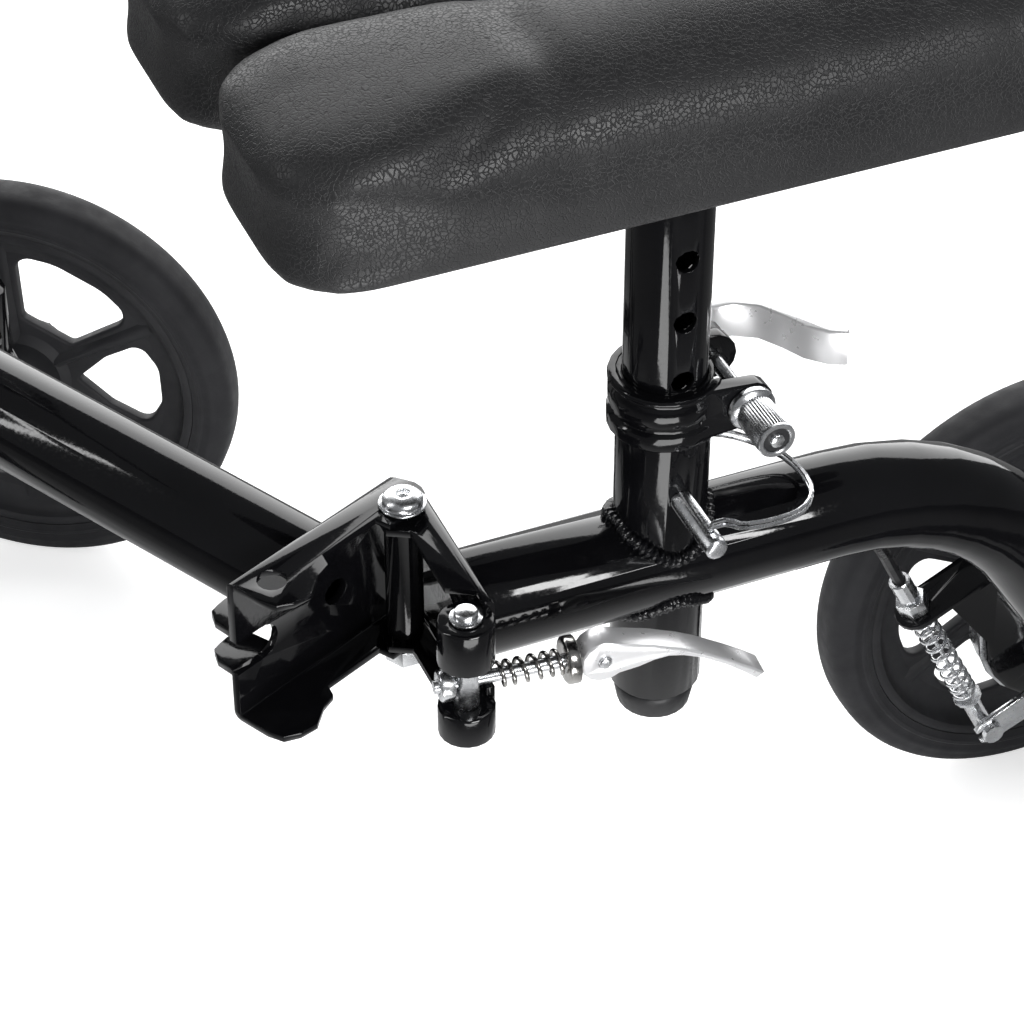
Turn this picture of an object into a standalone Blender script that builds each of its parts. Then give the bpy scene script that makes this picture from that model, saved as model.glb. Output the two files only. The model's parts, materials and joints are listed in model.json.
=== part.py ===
"""Steerable knee walker: four wheels, a folding single-tube frame, a raised knee pad and a
steering column. Rest pose: frame part folded, front wheels turned left, frame latch open.

Metres, +Z up, floor at z = 0. X runs to the rear along the rear frame tube, +Y is the walker's
right. While it is built, the hinge pin of the frame stands at x = y = 0. The front half is built
straight ahead (towards -X) and is folded by its parent empty.
"""
import math

import bmesh
import bpy
import numpy as np
from mathutils import Matrix, Vector

MM = 0.001
GAP = 0.3 * MM             # clearance between neighbouring pieces

# Rest pose
FOLD_ANGLE = math.radians(62.07)      # front half turned away from straight
STEER_ANGLE = math.radians(27.8)      # front wheels turned to the left
LATCH_ANGLE = math.radians(-5.7)      # open latch rod, measured from the rear tube

# Wheels and track
WHEEL_R = 101.6 * MM
TYRE_W = 25.4 * MM
TYRE_SHOULDER_R = 6.0 * MM
TYRE_H = 17.6 * MM
TYRE_INNER_R = WHEEL_R - TYRE_H
RIM_BAND = 17.0 * MM        # rim between the tyre and the windows
RIM_WEB_T = 6.0 * MM
RIM_HUB_R = 17.0 * MM
RIM_HUB_L = 36.0 * MM
RIM_FLANGE_T = 4.5 * MM
SPINDLE_R = 6.0 * MM
SPINDLE_NUT_R = 9.5 * MM
SPINDLE_NUT_T = 8.0 * MM
WINDOW_PAIRS = 3
WINDOW_PHASE = math.radians(-1.8)     # first narrow window, from straight behind the hub
WINDOW_OUTER_R = TYRE_INNER_R - RIM_BAND
WINDOW_CORNER_R = 7.0 * MM
NARROW_TIP_R = 26.2 * MM
NARROW_HALF_ANGLE = math.radians(20.8)
WIDE_INNER_R = 32.5 * MM
WIDE_HALF_ANGLE = math.radians(26.5)
REAR_AXLE_X = 339.0 * MM
REAR_HALF_TRACK = 149.5 * MM
REAR_AXLE_R = 12.7 * MM

# Frame tubes
TUBE_Y = -22.5 * MM        # frame tubes run beside the hinge pin
TUBE_Z = 311.7 * MM
TUBE_R = 19.05 * MM
TUBE_WALL = 2.0 * MM
TUBE_BEND_X = 150.0 * MM
TUBE_BEND_R = 100.0 * MM

# Hinge brackets, as heights from the tubes' axis
PLATE_T = 3.0 * MM
FLANGE_T = 2.4 * MM
FRONT_TOP = 30.7 * MM
FRONT_BOTTOM = -29.7 * MM
WEB_REAR_X = 11.0 * MM     # rear face of the rear web
WEB_FRONT_U = 15.05 * MM   # front face of the front web, from the hinge pin
BRACKET_SKEW = math.radians(-3.5)
BEND_R = 3.0 * MM
HINGE_PIN_R = 3.9 * MM
HINGE_BARREL_R = 6.6 * MM
HINGE_HEAD_R = 7.1 * MM
HINGE_HEAD_H = 3.6 * MM
WASHER_R = 8.3 * MM
WASHER_T = 1.0 * MM
HINGE_NUT_R = 7.5 * MM
HINGE_NUT_T = 6.5 * MM

# Frame latch
LATCH_X = 0.4 * MM
LATCH_Y = -54.6 * MM
LATCH_Z = TUBE_Z - 3.2 * MM
BOSS_R = 9.75 * MM
BOSS_TOP = 23.8 * MM
BOSS_TOP_H = 17.7 * MM
BOSS_LOW_H = 12.0 * MM
BOSS_BOTTOM = -25.1 * MM
CROSS_PIN_R = 4.45 * MM
ROD_R = 2.4 * MM
LATCH_NUT_R = 5.6 * MM
LATCH_NUT_T = 5.0 * MM
SEAT_AT = 33.4 * MM        # inner face of the pressure seat, along the rod
SEAT_T = 4.4 * MM
SEAT_R = 8.3 * MM
LATCH_PIVOT = 46.6 * MM
LATCH_CAM_R = 8.3 * MM
LATCH_LEVER_W = 10.0 * MM
LATCH_LEVER_L = 58.0 * MM
LATCH_SLOT_H = 14.0 * MM
LATCH_SLOT_END = 48.4 * MM
LIP_REACH = 32.6 * MM      # front edge of the slot's lips, from the cross pin
SPRING_WIRE_R = 0.75 * MM

# Seat tube
SEAT_X = 84.7 * MM
SLEEVE_R = 16.1 * MM
SLEEVE_BOTTOM = TUBE_Z - 54.2 * MM
SLEEVE_TOP = TUBE_Z + 78.8 * MM
POST_R = 14.29 * MM
POST_WALL = 2.0 * MM
POST_BOTTOM = TUBE_Z - 56.5 * MM
POST_TOP = TUBE_Z + 196.0 * MM
PLUG_H = 11.0 * MM
HOLE_PITCH = 24.0 * MM
HOLE_R = 4.2 * MM
HOLES_BELOW = 2
HOLES_ABOVE = 5
LOCK_PIN_Z = TUBE_Z + 34.8 * MM
LOCK_PIN_R = 3.9 * MM
LOCK_PIN_NEAR = -67.0 * MM
LOCK_PIN_FAR = -1.5 * MM
BAIL_WIRE_R = 0.75 * MM
BAIL_TILT = -0.28

# Seat clamp
COLLAR_BOTTOM = TUBE_Z + 57.6 * MM
COLLAR_TOP = TUBE_Z + 79.1 * MM
COLLAR_R = 18.2 * MM
BEAD_R = 1.1 * MM
SKEWER_X = 108.0 * MM
SKEWER_Z = TUBE_Z + 68.3 * MM
SKEWER_R = 2.5 * MM
CLAMP_SLIT = 3.0 * MM
EAR_R = 8.8 * MM
EAR_OUT = 17.0 * MM        # outer face of the ears, from the slit's middle
EAR_IN = 11.5 * MM         # inner face of the ears, which stand clear of each other
CLAMP_NUT_R = 6.6 * MM
CLAMP_NUT_FLANGE_R = 8.2 * MM
CLAMP_NUT_L = 20.0 * MM
CAM_SEAT_R = 8.2 * MM
CAM_SEAT_T = 6.0 * MM
CAM_R = 8.0 * MM
BARREL_R = 4.0 * MM
CLAMP_LEVER_H = 14.0 * MM
CLAMP_LEVER_T = 4.0 * MM
CLAMP_OPENS = math.radians(110)       # swing of the cam levers

# Knee pad
PAD_RISE = 4.3 * MM          # pads above the post's end
PAD_BOTTOM = POST_TOP + PAD_RISE
PAD_L = 320.0 * MM
PAD_W = 84.0 * MM
PAD_H = 50.0 * MM
PAD_SPACING = 88.0 * MM
PAD_X = 85.0 * MM
PAD_PLATE_L = 250.0 * MM
PAD_PLATE_W = 150.0 * MM
PAD_PLATE_CORNER_R = 18.0 * MM
PAD_GUSSET_L = 34.0 * MM
PAD_PLATE_T = 3.0 * MM
PAD_SOCKET_R = 17.5 * MM
PAD_SOCKET_H = 19.0 * MM

# Front axle and steering
KING_U = 372.3 * MM        # kingpins and column, ahead of the hinge pin
KING_V = 165.3 * MM        # kingpins, from the column
WHEEL_OUT = 45.0 * MM      # wheel's middle, from its kingpin
HEAD_R = 20.65 * MM
HEAD_BORE_R = 16.4 * MM
HEAD_BOTTOM = 140.0 * MM
HEAD_TOP = 337.0 * MM
ARM_TUBE_R = 14.0 * MM
ARM_TUBE_Z = 160.0 * MM
KING_SLEEVE_R = 12.0 * MM
KING_SLEEVE_H = 40.0 * MM
KINGPIN_R = 6.0 * MM
KING_NUT_R = 9.5 * MM
KING_NUT_T = 8.0 * MM
KNUCKLE_R = 13.0 * MM
ARM_REACH = -50.0 * MM     # steering arms ahead of the axle, kingpin to tie rod
PITMAN_HALF = 15.0 * MM    # tie rod pins on the column's arm, from its middle
ARM_T = 5.0 * MM
TIE_EYE_R = 8.0 * MM
TIE_EYE_H = 8.0 * MM
TIE_PIN_R = 3.2 * MM
TIE_ROD_R = 4.0 * MM

# Steering column
COLUMN_R = 15.9 * MM
COLUMN_BOTTOM = 134.4 * MM
STEM_PIVOT_Z = 395.0 * MM
STEM_PIVOT_R = 4.0 * MM
FOLD_PIN_X = 18.5 * MM
FOLD_PIN_Z = 408.0 * MM
FOLD_PIN_R = 2.5 * MM
FOLD_LEVER_W = 22.0 * MM
CLEVIS_W = 44.0 * MM
CLEVIS_T = 4.0 * MM
STEM_BORE_R = 13.3 * MM
STEM_TOP = 700.0 * MM
STEM_COLLAR_H = 22.0 * MM
STEM_EAR_OUT = 12.0 * MM
RISER_R = 12.7 * MM
RISER_BOTTOM = 490.0 * MM
BAR_Z = 863.0 * MM
BAR_R = 11.1 * MM
BAR_HALF = 240.0 * MM
BAR_SWEEP = 45.0 * MM
BAR_BEND_X = 16.5 * MM
BAR_BEND_Y = 97.5 * MM
BAR_RISE = 6.0 * MM
GRIP_R = 16.0 * MM
GRIP_L = 118.0 * MM

# Rear brake, on the right rear wheel; its pieces hang in one plane beside the wheel
DRUM_R = 42.0 * MM
DRUM_W = 14.0 * MM
DRUM_WALL = 4.0 * MM
BACKPLATE_T = 4.0 * MM
SHOE_T = 7.0 * MM
CAM_SHAFT_R = 4.0 * MM
BRAKE_Y = 88.0 * MM
STOP_X = 258.6 * MM        # cable stop tab, where the cable's line crosses it
STOP_Z = WHEEL_R + 34.5 * MM
CABLE_ANGLE = math.radians(63.4)      # below the horizontal, to the rear
CABLE_R = 2.7 * MM
INNER_WIRE_R = 0.9 * MM
TAB_R = 9.5 * MM
TAB_T = 3.0 * MM
BARREL_OUT_R = 4.7 * MM
BARREL_L = 13.0 * MM
LOCK_NUT_AF = 12.0 * MM
LOCK_NUT_T = 7.5 * MM
BRAKE_SPRING_R = 4.9 * MM
BRAKE_WIRE_R = 0.8 * MM
BRAKE_SPRING_L = 62.0 * MM
BRAKE_TURNS = 7
BRAKE_PIVOT_X = 328.0 * MM
BRAKE_PIVOT_Z = WHEEL_R - 19.1 * MM
ANCHOR_X = 293.7 * MM      # pin of the cable anchor, on the cable's line
ANCHOR_PIN_R = 2.5 * MM
ARM_PLATE_T = 3.0 * MM

SIDES = 24                 # facets round the frame tubes
FAR_SIDES = 16             # and round the front and stem tubes
SMALL_SIDES = 12
WHEEL_SIDES = 24


def material(name, color, roughness, metallic):
    mat = bpy.data.materials.new(name)
    mat.use_nodes = True
    shader = mat.node_tree.nodes["Principled BSDF"]
    shader.inputs["Base Color"].default_value = (*color, 1.0)
    shader.inputs["Roughness"].default_value = roughness
    shader.inputs["Metallic"].default_value = metallic
    return mat


def make(name, bm, finish=None):
    """Turn a bmesh into an object; a finish is (colour, roughness, metallic)."""
    bmesh.ops.recalc_face_normals(bm, faces=bm.faces)
    mesh = bpy.data.meshes.new(name)
    bm.to_mesh(mesh)
    bm.free()
    obj = bpy.data.objects.new(name, mesh)
    bpy.context.scene.collection.objects.link(obj)
    if finish:
        dress(obj, finish)
    return obj


def dress(obj, finish):
    obj.data.materials.clear()
    obj.data.materials.append(material(obj.name + "_finish", *finish))
    obj.data.shade_smooth()
    obj.data.set_sharp_from_angle(angle=math.radians(32))
    return obj


BLACK_PAINT = ((0.012, 0.012, 0.014), 0.12, 0.0)
BLACK_PLASTIC = ((0.02, 0.02, 0.022), 0.45, 0.0)
WHEEL_GREY = ((0.075, 0.075, 0.08), 0.55, 0.0)
TYRE_GREY = ((0.09, 0.09, 0.095), 0.7, 0.0)
ZINC = ((0.72, 0.73, 0.74), 0.28, 1.0)
ALUMINIUM = ((0.86, 0.86, 0.87), 0.3, 1.0)
NICKEL = ((0.6, 0.59, 0.57), 0.18, 1.0)
VINYL = ((0.03, 0.03, 0.032), 0.5, 0.0)
RUBBER = ((0.02, 0.02, 0.02), 0.8, 0.0)


def boolean(obj, tool, operation):
    """Apply an exact Boolean and drop the tool."""
    mod = obj.modifiers.new("cut", "BOOLEAN")
    mod.operation = operation
    mod.solver = "EXACT"
    mod.object = tool
    bpy.context.view_layer.update()
    graph = bpy.context.evaluated_depsgraph_get()
    mesh = bpy.data.meshes.new_from_object(obj.evaluated_get(graph))
    obj.modifiers.clear()
    obj.data = mesh
    bpy.data.objects.remove(tool)
    return obj


def cut(obj, *tools):
    for tool in tools:
        boolean(obj, tool, "DIFFERENCE")
    return obj


def join(obj, *tools):
    for tool in tools:
        boolean(obj, tool, "UNION")
    return obj


def move(obj, matrix):
    """Transform the mesh itself, so that the object keeps its origin."""
    obj.data.transform(matrix)
    if matrix.to_3x3().determinant() < 0:
        obj.data.flip_normals()
    return obj


def shift(obj, x=0.0, y=0.0, z=0.0):
    return move(obj, Matrix.Translation((x, y, z)))


AXES = {
    "Z": Matrix.Identity(4),
    "Y": Matrix.Rotation(math.radians(-90), 4, "X"),
    "X": Matrix.Rotation(math.radians(90), 4, "Y"),
}


def lathe(profile, sides=SIDES, axis="Z", at=(0, 0, 0)):
    """Turn a closed profile of (radius, height) points about an axis."""
    bm = bmesh.new()
    rings = []
    for radius, height in profile:
        if radius < 1e-7:
            rings.append([bm.verts.new((0, 0, height))])
            continue
        ring = []
        for k in range(sides):
            turn = 2 * math.pi * k / sides
            ring.append(bm.verts.new((radius * math.cos(turn), radius * math.sin(turn), height)))
        rings.append(ring)
    count = len(rings)
    for i in range(count):
        low, high = rings[i], rings[(i + 1) % count]
        if len(low) == 1 and len(high) == 1:
            continue
        for k in range(sides):
            n = (k + 1) % sides
            if len(low) == 1:
                bm.faces.new((low[0], high[k], high[n]))
            elif len(high) == 1:
                bm.faces.new((low[k], low[n], high[0]))
            else:
                bm.faces.new((low[k], low[n], high[n], high[k]))
    obj = make("turned", bm)
    return move(obj, Matrix.Translation(at) @ AXES[axis])


def rod(radius, start, end, sides=SMALL_SIDES, edge=0.0):
    """Solid cylinder between two points, with chamfered ends if an edge is given."""
    start, end = Vector(start), Vector(end)
    length = (end - start).length
    if edge:
        profile = [(0, 0), (radius - edge, 0), (radius, edge), (radius, length - edge),
                   (radius - edge, length), (0, length)]
    else:
        profile = [(0, 0), (radius, 0), (radius, length), (0, length)]
    obj = lathe(profile, sides)
    turn = (end - start).to_track_quat("Z", "Y").to_matrix().to_4x4()
    return move(obj, Matrix.Translation(start) @ turn)


def ring_tube(outer, inner, start, end, sides=SIDES):
    """Straight tube with an open bore between two points."""
    start, end = Vector(start), Vector(end)
    length = (end - start).length
    profile = [(inner, 0), (outer, 0), (outer, length), (inner, length)]
    obj = lathe(profile, sides)
    turn = (end - start).to_track_quat("Z", "Y").to_matrix().to_4x4()
    return move(obj, Matrix.Translation(start) @ turn)


def box(size, at, edge=0.0, segments=1):
    bm = bmesh.new()
    bmesh.ops.create_cube(bm, size=1.0)
    bmesh.ops.scale(bm, vec=size, verts=bm.verts)
    if edge:
        bmesh.ops.bevel(bm, geom=bm.edges, offset=edge, segments=segments, affect="EDGES",
                        profile=0.5)
    bmesh.ops.translate(bm, vec=at, verts=bm.verts)
    return make("block", bm)


def prism(outline, low, high, edge=0.0):
    """Extrude a plan outline from one height to another; its long edges may be eased."""
    bm = bmesh.new()
    base = [bm.verts.new((x, y, low)) for x, y in outline]
    face = bm.faces.new(base)
    grown = bmesh.ops.extrude_face_region(bm, geom=[face])
    top = [v for v in grown["geom"] if isinstance(v, bmesh.types.BMVert)]
    bmesh.ops.translate(bm, vec=(0, 0, high - low), verts=top)
    if edge:
        rims = [e for e in bm.edges if abs(e.verts[0].co.z - e.verts[1].co.z) < 1e-9]
        bmesh.ops.bevel(bm, geom=rims, offset=edge, segments=1, affect="EDGES")
    return make("prism", bm)


def rounded(points, radii, steps=4):
    """Round the corners of a polygon; one radius for each corner, 0 leaves it sharp."""
    result = []
    count = len(points)
    for i, corner in enumerate(points):
        corner = Vector(corner)
        radius = radii[i] if isinstance(radii, (list, tuple)) else radii
        if radius <= 0:
            result.append(corner)
            continue
        before = (Vector(points[i - 1]) - corner)
        after = (Vector(points[(i + 1) % count]) - corner)
        half = before.angle(after) / 2
        reach = min(radius / math.tan(half), 0.49 * before.length, 0.49 * after.length)
        true_r = reach * math.tan(half)
        centre = corner + (before.normalized() + after.normalized()).normalized() * (
            true_r / math.sin(half))
        first = corner + before.normalized() * reach - centre
        last = corner + after.normalized() * reach - centre
        sweep = first.angle_signed(last)
        for k in range(steps + 1):
            turn = -sweep * k / steps
            result.append(centre + Matrix.Rotation(turn, 2) @ first)
    return [(p.x, p.y) for p in result]


def arc_points(centre, radius, start, end, steps):
    """Points along an arc; angles in degrees."""
    points = []
    for k in range(steps + 1):
        turn = math.radians(start + (end - start) * k / steps)
        points.append((centre[0] + radius * math.cos(turn), centre[1] + radius * math.sin(turn)))
    return points


def sweep_mesh(points, radius, sides, bore=None):
    """Round tube along a path of points; an open bore gets half as many sides."""
    points = [Vector(p) for p in points]
    tangents = []
    for i, point in enumerate(points):
        before = points[max(i - 1, 0)]
        after = points[min(i + 1, len(points) - 1)]
        first = (point - before).normalized() if i else Vector((0, 0, 0))
        last = (after - point).normalized() if i < len(points) - 1 else Vector((0, 0, 0))
        tangents.append((first + last).normalized())
    side = tangents[0].orthogonal().normalized()
    bm = bmesh.new()
    shells = {radius: sides}
    if bore is not None:
        shells[bore] = sides // 2
    rings = {r: [] for r in shells}
    for i, point in enumerate(points):
        if i:
            turn = tangents[i - 1].rotation_difference(tangents[i])
            side = (turn @ side).normalized()
        across = tangents[i].cross(side).normalized()
        stretch = 1.0
        if 0 < i < len(points) - 1:
            leg = (points[i + 1] - point).normalized()
            stretch = 1.0 / max(tangents[i].dot(leg), 0.5)
        bend = Vector((0, 0, 0))
        if 0 < i < len(points) - 1:
            bend = (points[i + 1] - point).normalized() - (point - points[i - 1]).normalized()
        outward = bend.normalized() if bend.length > 1e-9 else Vector((0, 0, 0))
        for r, count in shells.items():
            ring = []
            for k in range(count):
                turn = 2 * math.pi * k / count
                arm = side * math.cos(turn) + across * math.sin(turn)
                arm += outward * arm.dot(outward) * (stretch - 1.0)
                ring.append(bm.verts.new(point + arm * r))
            rings[r].append(ring)
    for r, count in shells.items():
        for low, high in zip(rings[r], rings[r][1:]):
            for k in range(count):
                n = (k + 1) % count
                bm.faces.new((low[k], low[n], high[n], high[k]))
    for end in (0, -1):
        if bore is None:
            bm.faces.new(rings[radius][end])
        else:
            outer, inner = rings[radius][end], rings[bore][end]
            for k in range(sides // 2):
                n = (k + 1) % (sides // 2)
                bm.faces.new((outer[2 * k], outer[2 * k + 1], outer[2 * n], inner[n], inner[k]))
    return make("swept", bm)


def spline(points, count):
    """Smooth curve (centripetal Catmull-Rom) through route points, read at even steps."""
    route = [Vector(p) for p in points]
    route = [2 * route[0] - route[1]] + route + [2 * route[-1] - route[-2]]
    dense = []
    for i in range(1, len(route) - 2):
        a, b, c, d = route[i - 1:i + 3]
        t0 = 0.0
        t1 = t0 + math.sqrt((b - a).length)
        t2 = t1 + math.sqrt((c - b).length)
        t3 = t2 + math.sqrt((d - c).length)
        for k in range(24):
            t = t1 + (t2 - t1) * k / 24
            ab = a.lerp(b, (t - t0) / (t1 - t0))
            bc = b.lerp(c, (t - t1) / (t2 - t1))
            cd = c.lerp(d, (t - t2) / (t3 - t2))
            abc = ab.lerp(bc, (t - t0) / (t2 - t0))
            bcd = bc.lerp(cd, (t - t1) / (t3 - t1))
            dense.append(abc.lerp(bcd, (t - t1) / (t2 - t1)))
    dense.append(route[-2])
    lengths = [0.0]
    for a, b in zip(dense, dense[1:]):
        lengths.append(lengths[-1] + (b - a).length)
    result = []
    place = 0
    for k in range(count):
        want = lengths[-1] * k / (count - 1)
        while place < len(dense) - 2 and lengths[place + 1] < want:
            place += 1
        span = max(lengths[place + 1] - lengths[place], 1e-12)
        result.append(dense[place].lerp(dense[place + 1], (want - lengths[place]) / span))
    return result


def cable_points(route, count):
    """Even points along a cable's route; both ends run straight for one cable width."""
    route = [Vector(p) for p in route]
    run = 2.4 * CABLE_R
    first = (route[1] - route[0]).normalized() * run
    last = (route[-2] - route[-1]).normalized() * run
    inner = [route[0] + first] + route[1:-1] + [route[-1] + last]
    inner = [p for i, p in enumerate(inner) if i in (0, len(inner) - 1)
             or min((p - inner[0]).length, (p - inner[-1]).length) > 3 * MM]
    return [route[0]] + spline(inner, count) + [route[-1]]


def curve_tube(name, points, radius, resolution, finish):
    """Unbroken round tube as a curve object with filled caps."""
    curve = bpy.data.curves.new(name, "CURVE")
    curve.dimensions = "3D"
    curve.bevel_depth = radius
    curve.bevel_resolution = resolution
    curve.use_fill_caps = True
    line = curve.splines.new("POLY")
    line.points.add(len(points) - 1)
    for slot, point in zip(line.points, points):
        slot.co = (*point, 1.0)
    curve.materials.append(material(name + "_finish", *finish))
    obj = bpy.data.objects.new(name, curve)
    bpy.context.scene.collection.objects.link(obj)
    return obj


def coil_points(turns, radius, start, end, wire_r, per_turn=9):
    """Points of a compression spring along a line, with straight square tails."""
    start, end = Vector(start), Vector(end)
    axis = (end - start).normalized()
    side = axis.orthogonal().normalized()
    across = axis.cross(side)
    steps = int(turns * per_turn)
    length = (end - start).length
    points = []
    for k in range(steps + 1):
        turn = 2 * math.pi * k / per_turn
        along = wire_r + (length - 2 * wire_r) * k / steps
        points.append(start + axis * along + (side * math.cos(turn) + across * math.sin(turn))
                      * radius)
    first = (points[0] - points[1]).normalized()
    last = (points[-1] - points[-2]).normalized()
    flat_first = (first - axis * first.dot(axis)).normalized()
    flat_last = (last - axis * last.dot(axis)).normalized()
    points.insert(0, points[0] + flat_first * wire_r * 2)
    points.append(points[-1] + flat_last * wire_r * 2)
    return points


def least_gap(name, points, wire_r, skip):
    """Print the least clear gap between turns that aren't neighbours along the wire."""
    array = np.array([tuple(p) for p in points])
    least = 1.0
    for i in range(len(array)):
        rest = array[i + skip:]
        if len(rest):
            least = min(least, np.linalg.norm(rest - array[i], axis=1).min())
    print(name, "least gap to itself, mm:", round((least - 2 * wire_r) / MM, 2))


def empty(name, parent=None, at=(0, 0, 0), turn_z=0.0):
    obj = bpy.data.objects.new(name, None)
    bpy.context.scene.collection.objects.link(obj)
    obj.empty_display_size = 0.02
    obj.location = at
    obj.rotation_euler = (0, 0, turn_z)
    obj.parent = parent
    return obj


def place(obj, name, finish, parent=None, origin=(0, 0, 0)):
    """Name a finished mesh, put its origin on a point and hang it on its parent."""
    obj.name = name
    obj.data.name = name
    move(obj, Matrix.Translation(-Vector(origin)))
    obj.location = origin
    obj.parent = parent
    if finish:
        dress(obj, finish)
    return obj


def hexagon(across_flats, low, high, centre=(0.0, 0.0)):
    corner = across_flats / math.sqrt(3)
    outline = [(centre[0] + corner * math.cos(math.radians(60 * k)),
                centre[1] + corner * math.sin(math.radians(60 * k))) for k in range(6)]
    return prism(outline, low, high)


# Frame tubes, axle and hinge

def rear_bend_angle():
    """Bend that aims the rear leg at the axle."""
    drop = TUBE_Z - WHEEL_R
    reach = REAR_AXLE_X - TUBE_BEND_X
    low, high = 0.2, 1.5
    for _ in range(60):
        mid = (low + high) / 2
        left = (reach - TUBE_BEND_R * math.sin(mid)) * math.tan(mid)
        right = drop - TUBE_BEND_R * (1 - math.cos(mid))
        if left < right:
            low = mid
        else:
            high = mid
    return (low + high) / 2


def build_rear_tube():
    bend = rear_bend_angle()
    points = [(WEB_REAR_X + GAP, TUBE_Y, TUBE_Z)]
    steps = 7
    for k in range(steps + 1):
        turn = bend * k / steps
        points.append((TUBE_BEND_X + TUBE_BEND_R * math.sin(turn), TUBE_Y,
                       TUBE_Z - TUBE_BEND_R * (1 - math.cos(turn))))
    points.append((REAR_AXLE_X, TUBE_Y, WHEEL_R))
    obj = sweep_mesh(points, TUBE_R, SIDES, TUBE_R - TUBE_WALL)
    cut(obj,
        rod(REAR_AXLE_R + GAP, (REAR_AXLE_X, TUBE_Y - 0.05, WHEEL_R),
            (REAR_AXLE_X, TUBE_Y + 0.05, WHEEL_R), 18),
        rod(SLEEVE_R + GAP, (SEAT_X, TUBE_Y, TUBE_Z - 0.04), (SEAT_X, TUBE_Y, TUBE_Z + 0.04),
            18))
    trim_length = 0.1
    beyond = box((trim_length, 0.1, 0.1),
                 (REAR_AXLE_X + trim_length / 2 - REAR_AXLE_R * 0.2, TUBE_Y,
                  WHEEL_R - REAR_AXLE_R - 0.05 * 0.2))
    cut(obj, beyond)
    return place(obj, "rear_main_tube", BLACK_PAINT)


def build_rear_axle():
    """Cross tube with a spindle, a shoulder and a nut at each wheel."""
    half = REAR_HALF_TRACK - RIM_HUB_L / 2 - 4 * MM
    end = REAR_HALF_TRACK + RIM_HUB_L / 2 + GAP
    profile = [(0, -end - SPINDLE_NUT_T - 4 * MM),
               (SPINDLE_R - 1 * MM, -end - SPINDLE_NUT_T - 4 * MM),
               (SPINDLE_R, -end - SPINDLE_NUT_T - 3 * MM),
               (SPINDLE_R, -half), (REAR_AXLE_R, -half), (REAR_AXLE_R, half),
               (SPINDLE_R, half), (SPINDLE_R, end + SPINDLE_NUT_T + 3 * MM),
               (SPINDLE_R - 1 * MM, end + SPINDLE_NUT_T + 4 * MM),
               (0, end + SPINDLE_NUT_T + 4 * MM)]
    obj = lathe(profile, 18, "Y", (REAR_AXLE_X, TUBE_Y, WHEEL_R))
    for sign in (-1, 1):
        nut = hexagon(2 * SPINDLE_NUT_R * 0.9, end, end + SPINDLE_NUT_T)
        move(nut, Matrix.Translation((REAR_AXLE_X, TUBE_Y, WHEEL_R))
             @ Matrix.Rotation(-sign * math.pi / 2, 4, "X"))
        join(obj, nut)
        collar = ring_tube(SPINDLE_R + 3.5 * MM, SPINDLE_R - 1 * MM,
                           (REAR_AXLE_X, TUBE_Y + sign * (half - 1 * MM), WHEEL_R),
                           (REAR_AXLE_X, TUBE_Y + sign * (half + 4 * MM - GAP), WHEEL_R), 12)
        join(obj, collar)
    return place(obj, "rear_axle", BLACK_PAINT)


def channel(depth_from, depth_to, top, bottom, outline):
    """Bent channel: web and two flanges (section in x and z), cut to a plan outline."""
    web_out, web_in = depth_from, depth_from - math.copysign(PLATE_T, depth_from - depth_to)
    section = [(depth_to, top), (web_out, top), (web_out, bottom), (depth_to, bottom),
               (depth_to, bottom + FLANGE_T), (web_in, bottom + FLANGE_T),
               (web_in, top - FLANGE_T), (depth_to, top - FLANGE_T)]
    section = rounded(section, [0, BEND_R, BEND_R, 0, 0, 0.8 * MM, 0.8 * MM, 0], 3)
    bar = prism(section, -0.12, 0.12)
    move(bar, Matrix.Rotation(math.radians(90), 4, "X"))
    shift(bar, z=TUBE_Z)
    stamp = prism(outline, TUBE_Z - 0.06, TUBE_Z + 0.06)
    return boolean(bar, stamp, "INTERSECT")


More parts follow.
